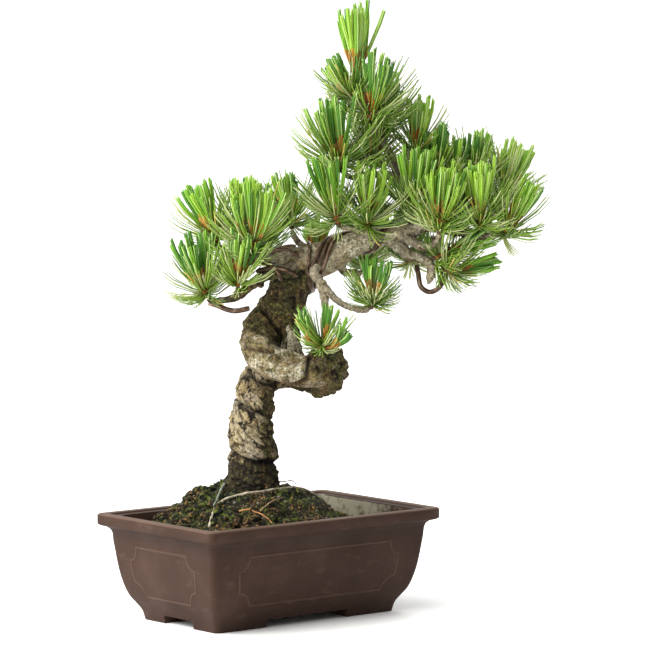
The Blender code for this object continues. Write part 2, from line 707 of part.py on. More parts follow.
def new_needle(k, root, tip, aim, reach, chance):
    """The root, direction, length and width of a new needle, which stands close to its shoot."""
    spread = NEW_SPREAD * math.sqrt((k + 0.3) / NEW_NEEDLES) * chance.uniform(*SPREAD_VARIES)
    turn = k * GOLDEN_ANGLE + chance.uniform(-TURN_VARIES, TURN_VARIES)
    out = (tilted((tip - root).normalized(), spread, turn) + aim * AIM_PULL).normalized()
    start = root.lerp(tip, 0.9 - 0.5 * k / NEW_NEEDLES)
    return start, out, reach * chance.uniform(*NEW_LENGTH), NEEDLE_WIDTH


def old_needle(k, root, tip, reach, chance):
    """The root, direction, length and width of an old needle, which splays out below the new."""
    turn = (k + chance.uniform(-TURN_VARIES, TURN_VARIES)) * math.tau / OLD_NEEDLES
    spread = OLD_SPREAD * chance.uniform(*SPREAD_VARIES)
    out = tilted((tip - root).normalized(), spread, turn)
    start = root.lerp(tip, 0.15 + 0.25 * k / OLD_NEEDLES)
    return start, out, reach * chance.uniform(*OLD_LENGTH), OLD_NEEDLE_WIDTH


def tuft_needles(name, wood, taken, chance):
    """The needles of a tuft that find room clear of the limbs, the other tufts and each other."""
    reach = TUFTS[name][5]
    aim = from_front(*TUFTS[name][4]).normalized()
    placed = []
    bodies = []
    for root, tip, _, _ in wood[1:]:
        wanted = [(new_needle, (k, root, tip, aim, reach)) for k in range(NEW_NEEDLES)]
        wanted += [(old_needle, (k, root, tip, reach)) for k in range(OLD_NEEDLES)]
        for rule, place in wanted:
            for _ in range(TRIES):
                start, out, length, width = rule(*place, chance)
                end = start + out * length
                foot = start + out * 3 * SHOOT_RADIUS
                inside = start + out * 5 * SHOOT_RADIUS
                if (distances(foot, end, taken) < NEEDLE_WIDTH + 2 * GAP).any():
                    continue
                if bodies and (distances(inside, end, np.array(bodies)) < NEEDLE_WIDTH / 2).any():
                    continue
                placed.append((start, end, width))
                bodies.append((*inside, *end, NEEDLE_WIDTH))
                break
    return placed, np.array(bodies)


def is_sound(mesh):
    """True where every edge has two faces and no corner only touches another."""
    bm = bmesh.new()
    bm.from_mesh(mesh)
    bmesh.ops.remove_doubles(bm, verts=bm.verts, dist=1e-6)
    sound = all(edge.is_manifold for edge in bm.edges) and all(vert.is_manifold for vert in bm.verts)
    bm.free()
    return sound


def make_tuft(name, wood, taken, limbs, chance, collection):
    """One tuft: its stem, shoots and needles fused, its stem cut clear of the limbs it meets."""
    pieces = [
        rod("wood", start, end, radius, wide, SHOOT_SIDES, collection,
            roll=chance.uniform(0, math.pi))
        for start, end, radius, wide in wood
    ]
    needles, bodies = tuft_needles(name, wood, taken, chance)
    for start, end, width in needles:
        root = min(NEEDLE_ROOT, 2 * width)
        pieces.append(
            rod("needle", start, end, root, width, NEEDLE_SIDES,
                collection, NEEDLE_FLATNESS, chance.uniform(0, math.pi))
        )
    tuft = pieces[0]
    tuft.name = name
    tuft.data.name = name
    combine(tuft, pieces[1:], "UNION", "MANIFOLD")
    cutters = [clearance_copy(limb, collection) for limb in limbs]
    combine(tuft, cutters, "DIFFERENCE", "MANIFOLD")
    return tuft, bodies


def finish(obj, material):
    obj.data.materials.clear()
    obj.data.materials.append(material)
    obj.data.shade_smooth()
    obj.data.set_sharp_from_angle(angle=math.radians(35))


def stand_on_origin(nodes):
    """Puts the middle of the whole plant's box over the origin, with the pot's feet at zero."""
    corners = np.array([vert.co[:] for node in nodes for vert in node.data.vertices])
    low, high = corners.min(axis=0), corners.max(axis=0)
    stand = bpy.data.objects.new("bonsai", None)
    bpy.context.scene.collection.objects.link(stand)
    stand.location = (-(low[0] + high[0]) / 2, -(low[1] + high[1]) / 2, -low[2])
    for node in nodes:
        node.parent = stand


def main():
    clear_scene()
    materials = make_materials()
    plant = make_collection("Japanese white pine bonsai")
    chance = random.Random(SEED)
    paths = {
        "trunk": smooth_path(
            [(*from_front(*bend[:3]), bend[3]) for bend in TRUNK_BENDS], TRUNK_STEP
        )
    }
    pot = make_pot(plant)
    soil = make_soil(plant)
    limbs = {"trunk": make_trunk(paths["trunk"], plant)}
    finish(pot, materials["unglazed clay"])
    finish(soil, materials["moss and grit"])
    for name in BOUGHS:
        paths[name] = limb_path(name, paths)
        bough = tube(name, paths[name], BOUGH_SIDES, plant)
        reach = segments_of(paths[name])
        for other, limb in limbs.items():
            span = segments_of(paths[other])
            near = min(distances(row[:3], row[3:6], span).min() - row[6] for row in reach)
            if near < GAP:
                combine(bough, [clearance_copy(limb, plant)], "DIFFERENCE")
        limbs[name] = bough
    wires = {
        name: wind(paths[limb], first, last, turns, angle, radius)
        for name, (limb, first, last, turns, angle, radius) in WIND_WIRES.items()
    }
    for name, (radius, route) in WIRE_ROUTES.items():
        wires[name] = smooth_path([(*from_front(*point), radius) for point in route], WIRE_STEP)
    wire_nodes = [tube(name, path, WIRE_SIDES, plant) for name, path in wires.items()]
    woods = {name: tuft_wood(name, paths) for name in TUFTS}
    fixed = [segments_of(path) for path in paths.values()]
    fixed += [segments_of(path) for path in wires.values()]
    grown = {}
    tufts = []
    for name, wood in woods.items():
        others = [
            np.array([(*start, *end, max(low, high)) for start, end, low, high in rows])
            for other, rows in woods.items() if other != name
        ]
        taken = np.vstack(fixed + others + list(grown.values()))
        stem = wood[0]
        met = [
            limb for other, limb in limbs.items()
            if distances(stem[0], stem[1], segments_of(paths[other])).min() < stem[2] + GAP
        ]
        tuft, grown[name] = make_tuft(name, wood, taken, met, chance, plant)
        for _ in range(TRIES):
            if is_sound(tuft.data):
                break
            bpy.data.objects.remove(tuft, do_unlink=True)
            tuft, grown[name] = make_tuft(name, wood, taken, met, chance, plant)
        tufts.append(tuft)
    for limb in limbs.values():
        finish(limb, materials["bough bark"])
    finish(limbs["trunk"], materials["plated bark"])
    for node in wire_nodes:
        finish(node, materials["anodised wire"])
    for tuft in tufts:
        finish(tuft, materials["white pine needles"])
    stand_on_origin([pot, soil, *limbs.values(), *wire_nodes, *tufts])


main()
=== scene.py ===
"""A Japanese white pine bonsai in its pot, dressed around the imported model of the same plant.

The tree is set out as it is seen from its front, as (right, back, up) in metres from the middle of
the pot's underside. The pot's long side runs along X and +Z is up.
"""

import math
import random

import bmesh
import bpy
import numpy as np
from bpy.props import FloatProperty, IntProperty, PointerProperty
from mathutils import Matrix, Vector, noise


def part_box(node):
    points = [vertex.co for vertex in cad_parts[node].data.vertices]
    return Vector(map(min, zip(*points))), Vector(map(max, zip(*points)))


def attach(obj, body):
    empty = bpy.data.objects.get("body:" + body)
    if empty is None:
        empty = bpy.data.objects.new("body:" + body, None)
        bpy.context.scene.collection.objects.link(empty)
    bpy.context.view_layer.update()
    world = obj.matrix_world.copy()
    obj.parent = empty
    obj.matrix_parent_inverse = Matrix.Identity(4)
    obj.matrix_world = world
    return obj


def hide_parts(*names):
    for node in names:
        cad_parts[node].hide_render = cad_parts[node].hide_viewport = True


bl_info = {
    "name": "White pine bonsai",
    "version": (1, 0, 0),
    "blender": (4, 5, 0),
    "location": "View3D > Sidebar > Bonsai",
    "description": "Builds a small potted pine with bark, wires and needles",
    "category": "Add Mesh",
}

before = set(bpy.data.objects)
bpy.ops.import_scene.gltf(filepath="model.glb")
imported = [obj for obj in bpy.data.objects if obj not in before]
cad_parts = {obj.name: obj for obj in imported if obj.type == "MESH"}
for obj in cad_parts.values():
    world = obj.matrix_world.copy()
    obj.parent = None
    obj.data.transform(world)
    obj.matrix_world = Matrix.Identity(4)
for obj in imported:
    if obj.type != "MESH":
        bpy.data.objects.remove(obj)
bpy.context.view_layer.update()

MM = 0.001
FRONT_TURN = math.radians(39.5)
GOLDEN_ANGLE = math.pi * (3 - math.sqrt(5))
UP = Vector((0, 0, 1))
SEED = 11

# Pot: outer size at the rim, and the steps of its wall as (height, inset from the rim).
POT_LENGTH = 0.220
POT_WIDTH = 0.140
POT_HEIGHT = 0.0785
POT_CORNER = 0.006
POT_FLOOR = 0.012
WALL_STEPS = (
    (0.0, 0.0258),
    (0.0070, 0.0240),
    (0.0120, 0.0210),
    (0.0200, 0.0162),
    (0.0350, 0.0120),
    (0.0580, 0.0086),
)
LIP_STEPS = (
    (0.0640, 0.0082),
    (0.0668, 0.0072),
    (0.0688, 0.0050),
    (0.0698, 0.0016),
    (0.0704, 0.0006),
    (0.0712, 0.0),
    (0.0772, 0.0),
    (0.0780, 0.0003),
    (POT_HEIGHT, 0.0010),
    (POT_HEIGHT, 0.0066),
    (POT_HEIGHT - 0.0004, 0.0071),
    (POT_HEIGHT - 0.0012, 0.0074),
    (POT_HEIGHT - 0.0014, 0.0078),
    (POT_HEIGHT - 0.0014, 0.0131),
    (POT_HEIGHT - 0.0022, 0.0137),
)
INNER_STEPS = (
    (0.0600, 0.0155),
    (0.0350, 0.0190),
    (0.0200, 0.0235),
    (POT_FLOOR, 0.0300),
)
FOOT_HEIGHT = 0.006
FOOT_ALONG = 0.041
FOOT_ACROSS = 0.022
FOOT_DEPTH = 0.012
FOOT_SLANT = 0.005
DRAIN_RADIUS = 0.007
DRAIN_SPACING = 0.090

# Soil: a mound that is flat where the trunk stands, and lowest in the right back corner.
GROUND = 0.0950
SOIL_EDGE = 0.0660
SOIL_DIP = 0.0060
MOUND_TOP_RADIUS = 0.028
MOUND_FALL = 0.036
SOIL_INSET = 0.0146

# Trunk: its bends from below the foot to the fork, as (right, back, up, radius).
TRUNK_BENDS = (
    (-0.013, 0.002, 0.09, 0.0225),
    (-0.013, 0.002, 0.097, 0.0215),
    (-0.0122, 0.002, 0.108, 0.0188),
    (-0.0118, 0.001, 0.122, 0.0176),
    (-0.0142, 0.0, 0.135, 0.0162),
    (-0.012, 0.0, 0.151, 0.0153),
    (-0.011, 0.004, 0.165, 0.0142),
    (-0.005, 0.016, 0.177, 0.0134),
    (0.01, 0.029, 0.179, 0.013),
    (0.028, 0.031, 0.177, 0.0138),
    (0.041, 0.018, 0.178, 0.0158),
    (0.044, 0.002, 0.183, 0.0162),
    (0.038, -0.014, 0.185, 0.0138),
    (0.025, -0.0215, 0.1845, 0.0117),
    (0.011, -0.0235, 0.188, 0.0122),
    (-0.0015, -0.02, 0.1925, 0.0121),
    (-0.0085, -0.01, 0.2, 0.0116),
    (-0.0085, 0.0, 0.2095, 0.0128),
    (0.001, 0.005, 0.221, 0.015),
    (0.01, 0.006, 0.233, 0.0158),
    (0.0155, 0.005, 0.2445, 0.0152),
    (0.023, 0.002, 0.2552, 0.0139),
    (0.0325, -0.001, 0.263, 0.0138),
    (0.0445, -0.002, 0.2675, 0.0123),
    (0.056, -0.002, 0.2732, 0.0101),
    (0.068, 0.0, 0.2785, 0.0085),
    (0.081, 0.002, 0.2825, 0.0078),
    (0.093, 0.003, 0.2852, 0.0073),
    (0.101, 0.003, 0.2862, 0.0066),
)

# The dead snag in the trunk's crook and the living strand behind it: the middle of the foot, the
# middle of the top, and the radius at each.
SNAG = ((0.0165, 0.004, 0.188), (0.0155, -0.002, 0.2175), 0.0098, 0.0016)
STRAND = ((0.0145, 0.014, 0.186), (0.0115, 0.006, 0.23), 0.0102, 0.0122)
STRAND_BEND = 18.5  # the bend of the trunk whose bark the strand bears

# Boughs: the limb that carries each, the share of that limb's length where it leaves, the bends
# after that as (right, back, up), and the radius at its foot and at its tip.
BOUGHS = {
    "bough_right": (
        "trunk", 0.992, 0.0058, 0.0026,
        ((0.107, 0.001, 0.2885), (0.117, -0.004, 0.291), (0.131, -0.008, 0.2885),
         (0.146, -0.01, 0.2855), (0.159, -0.012, 0.2835), (0.17, -0.012, 0.2835)),
    ),
    "bough_apex": (
        "trunk", 0.985, 0.0052, 0.0015,
        ((0.1015, 0.006, 0.302), (0.098, 0.007, 0.316), (0.095, 0.006, 0.328),
         (0.09, 0.003, 0.342), (0.08, -0.002, 0.358), (0.072, -0.002, 0.372),
         (0.066, -0.002, 0.386), (0.064, -0.002, 0.396)),
    ),
    "bough_left_low": (
        "trunk", 0.8, 0.0056, 0.002,
        ((0.009, -0.015, 0.2575), (-0.003, -0.02, 0.2545), (-0.014, -0.022, 0.247),
         (-0.022, -0.023, 0.24), (-0.032, -0.022, 0.237), (-0.043, -0.018, 0.236)),
    ),
    "bough_left_front": (
        "trunk", 0.826, 0.0038, 0.0023,
        ((0.017, -0.011, 0.2725), (0.006, -0.016, 0.27), (-0.004, -0.019, 0.266),
         (-0.012, -0.018, 0.2655)),
    ),
    "bough_left_back": (
        "trunk", 0.812, 0.0046, 0.002,
        ((0.008, 0.02, 0.264), (-0.006, 0.023, 0.2625), (-0.019, 0.019, 0.2635),
         (-0.03, 0.012, 0.269), (-0.037, 0.007, 0.2755)),
    ),
    "twig_rear": (
        "trunk", 0.835, 0.003, 0.0018,
        ((0.021, 0.009, 0.2785), (0.017, 0.011, 0.287)),
    ),
    "bough_hanging": (
        "trunk", 0.853, 0.0042, 0.0017,
        ((0.034, -0.015, 0.259), (0.038, -0.02, 0.249), (0.041, -0.023, 0.239),
         (0.042, -0.026, 0.228), (0.041, -0.03, 0.216), (0.039, -0.033, 0.205)),
    ),
    "bough_low_right": (
        "bough_hanging", 0.4, 0.0027, 0.0018,
        ((0.05, -0.024, 0.237), (0.06, -0.023, 0.2315), (0.069, -0.02, 0.229),
         (0.075, -0.017, 0.23)),
    ),
    "twig_behind_crook": (
        "trunk", 0.86, 0.0032, 0.002,
        ((0.035, 0.02, 0.264), (0.035, 0.03, 0.2625)),
    ),
    "bough_behind": (
        "trunk", 0.885, 0.0038, 0.002,
        ((0.054, 0.019, 0.257), (0.064, 0.03, 0.253), (0.07, 0.037, 0.254)),
    ),
    "twig_front": (
        "trunk", 0.935, 0.0027, 0.0017,
        ((0.073, -0.014, 0.2845), (0.062, -0.018, 0.289), (0.052, -0.018, 0.2905)),
    ),
    "bough_right_low": (
        "trunk", 0.985, 0.0037, 0.0018,
        ((0.111, -0.008, 0.2765), (0.119, -0.013, 0.2765), (0.124, -0.019, 0.282),
         (0.125, -0.023, 0.2865)),
    ),
    "bough_right_hanging": (
        "trunk", 0.968, 0.0046, 0.003,
        ((0.1, 0.001, 0.271), (0.11, 0.0, 0.267), (0.119, -0.004, 0.262),
         (0.1195, -0.006, 0.255), (0.1175, -0.006, 0.2475)),
    ),
    "twig_right_up": (
        "bough_right", 0.3, 0.003, 0.002,
        ((0.125, 0.002, 0.304), (0.1225, 0.004, 0.318)),
    ),
    "bough_right_back": (
        "bough_right", 0.52, 0.0032, 0.0018,
        ((0.143, 0.006, 0.2985), (0.151, 0.014, 0.3075), (0.161, 0.018, 0.3065),
         (0.17, 0.02, 0.308)),
    ),
    "twig_apex_left": (
        "bough_apex", 0.34, 0.0028, 0.0017,
        ((0.087, 0.004, 0.328), (0.076, 0.0, 0.3275), (0.062, -0.007, 0.3265),
         (0.053, -0.012, 0.331)),
    ),
}

# Wires: the limb that each winds round, the stretch of it that is wound, as shares of its length,
# the turns, the angle of the start in degrees, which is zero on the limb's far side, and the
# wire's radius.
WIND_WIRES = {
    "wire_shoulder_1": ("trunk", 0.768, 0.905, -0.8, 322, 0.0016),
    "wire_shoulder_2": ("trunk", 0.779, 0.916, -0.8, 322, 0.0016),
    "wire_left_low": ("bough_left_low", 0.22, 0.7, 2.2, 150, 0.0013),
    "wire_left_front": ("bough_left_front", 0.4, 0.86, 0.4, 60, 0.0012),
    "wire_right_low": ("bough_right_low", 0.5, 0.9, 1.0, 200, 0.001),
}

# Wires that follow a route of their own: the radius, and the route as (right, back, up).
WIRE_ROUTES = {
    "wire_cut_end": (
        0.002,
        ((-0.044, -0.02, 0.2345), (-0.038, -0.0215, 0.233), (-0.031, -0.0235, 0.2303),
         (-0.024, -0.025, 0.2292), (-0.014, -0.0255, 0.2312)),
    ),
    "wire_stub_loop": (
        0.0019,
        ((0.1095, 0.0065, 0.26), (0.1105, -0.001, 0.254), (0.112, -0.0055, 0.246),
         (0.118, -0.007, 0.2418), (0.1245, -0.0075, 0.244), (0.129, -0.0065, 0.25),
         (0.131, -0.005, 0.254)),
    ),
}

# Tufts: the limb that carries each and the share of its length, the way the stem leans, the stem's
# length, the way the needles point, the reach from the heart to the needle tips, and how wide
# the shoots fan, in degrees. Directions are (right, back, up).
TUFTS = {
    "tuft_left_tip": ("bough_left_low", 1.0, (-.6, -.1, .8), .006, (-.25, -.2, 1), .046, 34),
    "tuft_left_front": ("bough_left_low", .74, (0, -.5, 1), .007, (.1, -.2, 1), .038, 30),
    "tuft_left_middle": ("bough_left_front", 1.0, (0, -.5, 1), .011, (0, -.25, 1), .049, 40),
    "tuft_left_outer": ("bough_left_back", 1.0, (-.45, 0, 1), .005, (-.45, 0, 1), .045, 32),
    "tuft_left_top": ("bough_left_back", .76, (0, .15, 1), .017, (0, .1, 1), .040, 30),
    "tuft_left_inner": ("twig_rear", 1.0, (-.15, .1, 1), .005, (-.15, .1, 1), .038, 30),
    "tuft_left_back": ("bough_left_back", .50, (-.2, .9, .5), .011, (-.2, .6, 1), .038, 34),
    "tuft_shoulder_left": ("twig_front", 1.0, (-.4, -.1, 1), .005, (-.22, -.2, 1), .051, 34),
    "tuft_shoulder_right": ("twig_front", .42, (0, -.5, 1), .006, (.12, -.25, 1), .046, 32),
    "tuft_crook_back": ("twig_behind_crook", 1.0, (0, .8, .6), .005, (0, .5, 1), .032, 36),
    "tuft_behind": ("bough_behind", 1.0, (.2, .5, .8), .005, (.15, .35, 1), .036, 44),
    "tuft_inner": ("bough_right_hanging", .20, (-.5, .8, .2), .010, (-.6, .5, .35), .030, 30),
    "tuft_leader": ("bough_apex", 1.0, (0, 0, 1), .003, (-.05, 0, 1), .053, 40),
    "tuft_leader_left": ("bough_apex", .86, (-.7, -.1, .6), .006, (-.55, 0, .9), .034, 28),
    "tuft_apex": ("bough_apex", .70, (-.3, -.6, .8), .007, (.12, -.15, 1), .050, 36),
    "tuft_apex_back": ("bough_apex", .62, (.1, .9, .6), .010, (.1, .5, 1), .044, 34),
    "tuft_apex_left": ("twig_apex_left", 1.0, (-.3, -.4, 1), .005, (-.08, -.15, 1), .052, 42),
    "tuft_apex_inner": ("twig_apex_left", .46, (.1, .7, .8), .009, (.15, .2, 1), .042, 32),
    "tuft_apex_right": ("bough_apex", .24, (.32, .05, 1), .028, (.08, 0, 1), .042, 24),
    "tuft_right_front": ("bough_right", .13, (0, -.8, .8), .010, (.05, -.2, 1), .050, 30),
    "tuft_right_upper": ("twig_right_up", 1.0, (0, 0, 1), .005, (.12, 0, 1), .040, 28),
    "tuft_right_lower": ("bough_right_low", 1.0, (.1, -.3, 1), .005, (.12, -.25, 1), .046, 32),
    "tuft_right_tip": ("bough_right", 1.0, (.8, -.2, .5), .005, (.5, -.1, 1), .0435, 36),
    "tuft_right_face": ("bough_right", .82, (-.1, -.7, .8), .009, (-.05, -.25, 1), .048, 32),
    "tuft_right_crest": ("bough_right_back", .62, (.1, .2, 1), .008, (.15, 0, 1), .042, 30),
    "tuft_right_top": ("bough_right_back", .30, (-.4, .3, 1), .013, (.05, .1, 1), .042, 28),
    "tuft_right_back": ("bough_right_back", 1.0, (.8, .3, .6), .005, (.4, .25, 1), .044, 34),
    "tuft_right_rear": ("bough_right", .45, (.2, .9, .5), .020, (.2, .6, 1), .044, 34),
    "tuft_right_under": ("bough_right_hanging", .64, (.9, -.2, .3), .006, (.9, -.15, .5), .044, 30),
    "tuft_right_sprig": ("bough_right_hanging", .80, (1, .1, -.1), .010, (1, 0, .15), .038, 22),
    "tuft_right_shade": ("bough_right_hanging", .42, (0, .9, -.3), .013, (.1, .8, .3), .034, 36),
    "tuft_hanging": ("bough_hanging", 1.0, (0, -.9, -.2), .006, (.06, -.3, 1), .034, 48),
    "tuft_low": ("bough_low_right", 1.0, (.3, 0, 1), .005, (.1, -.1, 1), .034, 44),
}

# Pot: how finely its walls are drawn, the faint ridge below its lip, and the edges of its feet.
SIDE_STRETCH = 0.008
WALL_STRETCH = 0.0012
RIDGE_HEIGHT = 0.0608
RIDGE_WIDTH = 0.0011
RIDGE_RISE = 0.0007
CORNER_STEPS = 8
DRAIN_SIDES = 32
FOOT_EDGE_ANGLE = math.radians(50)
FOOT_EDGE_STEPS = 3
POT_SHARP_ANGLE = 38
MERGED = 1e-6

# The raised line of each side's panel, a frame with a hollow quarter round at each corner.
PANEL_HALF_LONG = 0.083
PANEL_HALF_SHORT = 0.045
PANEL_LOW = 0.0195
PANEL_HIGH = 0.0565
PANEL_NOTCH = 0.0105
PANEL_STEP = 0.005
NOTCH_POINTS = 6
LINE_SIDES = 12
LINE_SUNK = 0.0006

# Marks on the clay: lime inside, and lime in the wall's corners that also paints their sheen;
# painted shade under the lip, and a darker foot; pale top edges, partly wear and partly painted
# sheen; and a painted highlight on the panel lines. The lime grows between two places across the
# pot, counted from -2 in its left front corner to 2 in the right back one. Other pairs are the
# heights between which a mark starts or ends.
INSIDE_BELOW_SOIL = 0.015
LIME_ACROSS = (-0.4, 1.0)
LIME_LEAST = 0.35
CORNER_LIME_AND_SHEEN = 0.62
CORNER_LIME_AND_SHEEN_REACH = 0.018
CORNER_LIME_AND_SHEEN_TOP = (0.055, 0.062)
LIP_SHADE = 0.45
LIP_SHADE_START = (0.0560, 0.0660)
LIP_SHADE_END = (0.0685, 0.0700)
FOOT_DARKENING = 0.25
FOOT_DARKENING_TOP = 0.012
RIM_WEAR_AND_SHEEN = 1.6
RIM_WEAR_AND_SHEEN_DEPTH = 0.0008
LINE_HIGHLIGHT = 0.7

# Soil: how finely it is drawn, its relief as (height, width), and what grows and lies on it. Moss
# shoots and grit are in millimetres. The clods thin out between two places to the right.
SOIL_STRETCH = 0.0014
SOIL_FOOT = 0.050
HUMMOCKS = (2.6 * MM, 12 * MM)
CUSHIONS = (3.6 * MM, 8 * MM)
CUSHION_WARP = (3 * MM, 4 * MM)
CRUMBS = (1.3 * MM, 2.4 * MM)
MOSS_PATCH = 14 * MM
MOSS_SHADE_PATCH = 8 * MM
MOSS_LEAN = 0.45
MOSS_LENGTH = (1.0, 2.6)
MOSS_HALF_WIDTH = (0.22, 0.42)
GRIT_LEAST = 0.45
GRIT_VARIES = 1.6
GRIT_LUMP = 0.16 * MM
CLODS = 170
CLOD_RADIUS = (0.0015, 0.0042)
CLOD_LUMP = (1.2 * MM, 1.7 * MM)
CLODS_THIN_OUT = (-0.05, 0.03)
MOSS_GREENS = (
    ("dark moss", "12180a"),
    ("olive moss", "2c3010"),
    ("bright moss", "6b7826"),
)
GRIT_COLOURS = (
    ("brown crumbs", ("1c140c", "4c3923")),
    ("ochre crumbs", ("5a4420", "94763f")),
    ("grey stones", ("3f3b33", "7d7668")),
)

# Roots and twigs on the soil: the radius, how far above it they lie, the dark and the pale colour,
# and the route as (right, back).
GROUND_ROOTS = {
    "pale_root": (
        0.001, 0.0008, ("7f7563", "bcb29b"),
        ((-0.0427, -0.06), (-0.0412, -0.05), (-0.038, -0.042), (-0.0313, -0.0375),
         (-0.0225, -0.035), (-0.0108, -0.0315), (0.0008, -0.0245), (0.011, -0.013),
         (0.0206, -0.002), (0.0272, 0.005), (0.0339, 0.0095), (0.04, 0.016),
         (0.044, 0.024)),
    ),
    "grey_root": (
        0.0014, 0.0026, ("4b5046", "878d7c"),
        ((-0.031, 0.01), (-0.033, -0.008), (-0.0352, -0.028), (-0.04, -0.0405)),
    ),
    "orange_root": (
        0.0007, 0.001, ("8a5a32", "c39060"),
        ((-0.0222, -0.0495), (-0.0149, -0.051), (-0.0083, -0.053), (-0.0024, -0.056),
         (0.0035, -0.06)),
    ),
    "fallen_twig": (
        0.0007, 0.001, ("5d4a35", "a08a69"),
        ((-0.0061, -0.05), (-0.0011, -0.0455), (0.004, -0.0395), (0.0105, -0.03)),
    ),
    "dark_twig": (
        0.0006, 0.0042, ("241a13", "4d3c2d"),
        ((0.0013, -0.009), (0.0071, -0.002), (0.013, 0.004), (0.017, 0.008),
         (0.0198, 0.002)),
    ),
}

ROOT_WOBBLE = (0.5 * MM, 5 * MM)
ROOT_SIDES = 8

# Trunk: how finely it and its snag are drawn, the dents of its wood, as a share of its radius, and
# the lobes of its flared foot.
TRUNK_STRETCH = 0.00068
TRUNK_SIDES = 128
SNAG_ROWS = 60
SNAG_SIDES = 60
BARK_DENT = 0.08
BARK_DENT_SIZE = 0.019
ROOT_LOBES = 4
ROOT_TURN = 0.8
ROOT_SPREAD = 0.0045
ROOT_HEIGHT = 0.016

# Wires that are pressed onto the limb nearest to them: the radius, and the route as
# (right, back, up).
FRONT_STRANDS = {
    "crook_strand": (
        0.0013,
        ((0.029, 0.006, 0.276), (0.0313, -0.006, 0.274), (0.0302, -0.0135, 0.2675),
         (0.0285, -0.0165, 0.26), (0.0288, -0.016, 0.253), (0.0299, -0.012, 0.2475),
         (0.031, -0.003, 0.244)),
    ),
    "upper_left_strand": (
        0.0012,
        ((0.023, -0.003, 0.274), (0.021, -0.012, 0.27), (0.013, -0.0165, 0.2735),
         (0.005, -0.019, 0.274), (-0.001, -0.0185, 0.27), (-0.004, -0.013, 0.265)),
    ),
    "lower_left_strand": (
        0.0017,
        ((-0.0085, -0.0225, 0.2575), (-0.003, -0.024, 0.26), (0.003, -0.0235, 0.2612),
         (0.0096, -0.0225, 0.2603), (0.016, -0.02, 0.2572), (0.0215, -0.0165, 0.2535)),
    ),
}

# More wires wound round the trunk, in WIND_WIRES's terms.
EXTRA_WINDS = (
    ("trunk", 0.757, 0.894, -0.8, 322, 0.0016),
    ("trunk", 0.905, 0.988, -0.8, 324, 0.0013),
    ("trunk", 0.914, 0.997, -0.8, 324, 0.0013),
)

# The groove that winds down the lower trunk: how far round from the front it has come, in degrees
# towards the right, and the height there. Below it are its depth and half width, and the swelling
# of the coils between, with its own width.
COIL_GROOVE = (
    (-120, 0.1905), (90, 0.169), (270, 0.164), (360, 0.1552), (450, 0.1462), (630, 0.1232),
    (720, 0.1166), (860, 0.1128),
)
COIL_DEPTH = 0.003
COIL_REACH = 0.0015
COIL_SWELL = 0.0014
COIL_WIDTH = 0.009
TWIST = 0.018

# Zones of the trunk's bark by the bends they span: the first, the last, and how softly they end.
# The plates are the lower trunk's, the knobs are on the great bend, and the band is the bare coil
# that crosses the front below the upper trunk. The band climbs where the wood is low.
PLATES_SPAN = (-1, 7.6, 0.8)
KNOBS_SPAN = (7.8, 13.2, 0.7)
BAND_SPAN = (12.7, 16.3, 0.35)
BAND_FOOT = 0.184
BAND_CLIMB = 75
UPPER_SPAN = (16.4, 20.8, 0.6)
SHOULDER_START = (20.4, 22.0)
FORK_START = (22.4, 24.0)

# How strongly the plates, knobs, band, upper trunk and shoulder show each form or mark.
CRACKED = (1.0, 0.5, 0.15, 0.35, 0.06)
FLAKED = (1.0, 0.6, 0.3, 0.7, 0.18)
LUMPED = (0.2, 1.50, 0.35, 0.6, 0.0)
SCALED = (0.35, 0.3, 0.3, 0.2, 0.12)
MOSSED = (0.0, 0.74, 0.6, 0.9, 0.3)

# The knuckle on the great bend, as (right, up), how far it reaches and how high it stands.
KNUCKLE = (0.055, 0.199)
KNUCKLE_REACH = 0.007
KNUCKLE_RISE = 0.0036

# The share of a layer of flaking bark from which it climbs to the next.
LEDGE_FOOT = 0.72

# The damp, mossy foot of the trunk: its upper edge at a place to the right, and how it climbs.
DAMP_EDGE = 0.1145
DAMP_EDGE_AT = -0.03
DAMP_CLIMB = 0.1
DAMP_SOFTNESS = 0.002

# The strengths of these marks on the bark are attributes of its mesh, which its material reads.
# The crack and moss marks also carry painted shade, the lichen and pale marks painted light, and
# the rust mark painted shade in the folds.
BARK_MARKS = ("crack", "moss", "lichen", "pale", "scaly", "streak", "rust_and_fold_shade")

# Folds seen on the trunk's front: points as (right, up), how far each reaches and how deep it is.
# Shade is painted into them, as dark cracks and rust, in proportion to their depth.
FOLD_SHADE = 200
FOLDS = (
    (((-0.0075, 0.2310), (0.0007, 0.2229), (0.0078, 0.2115), (0.0081, 0.2028)), 0.0016, 0.0030),
    (((-0.0190, 0.2021), (-0.0045, 0.2010), (0.0046, 0.1999), (0.0088, 0.1961)), 0.0015, 0.0026),
    (((0.0300, 0.2000), (0.0294, 0.1910), (0.0285, 0.1795), (0.0180, 0.1731)), 0.0017, 0.0032),
    (((-0.0010, 0.2505), (0.0088, 0.2532), (0.0180, 0.2552), (0.0240, 0.2545)), 0.0028, 0.0036),
)

# The painted shade under the shoulder's boughs, seen from the front: where it starts and ends,
# upwards and to the right.
SHADE_UNDER_BOUGHS_LOW = (0.228, 0.238)
SHADE_UNDER_BOUGHS_HIGH = (0.256, 0.263)
SHADE_UNDER_BOUGHS_LEFT = (-0.045, -0.030)
SHADE_UNDER_BOUGHS_RIGHT = (0.027, 0.033)

# Boughs and wires: how finely they are drawn, how deep a wound wire sits in the bark, and the
# share of its radius that a wire's filed ends keep.
BOUGH_SIDES = 22
BOUGH_STRETCH = 0.0010
BOUGH_RING = 3.1 * MM
BOUGH_PLATE = 3.4 * MM
WIRE_SIDES = 14
WIRE_STRETCH = 0.0016
WIRE_SOURCE_STEP = 0.0085
WIRE_SUNK = 0.0002
WIRE_END = 0.86
CUT_FACE = (0.84, 0.80)

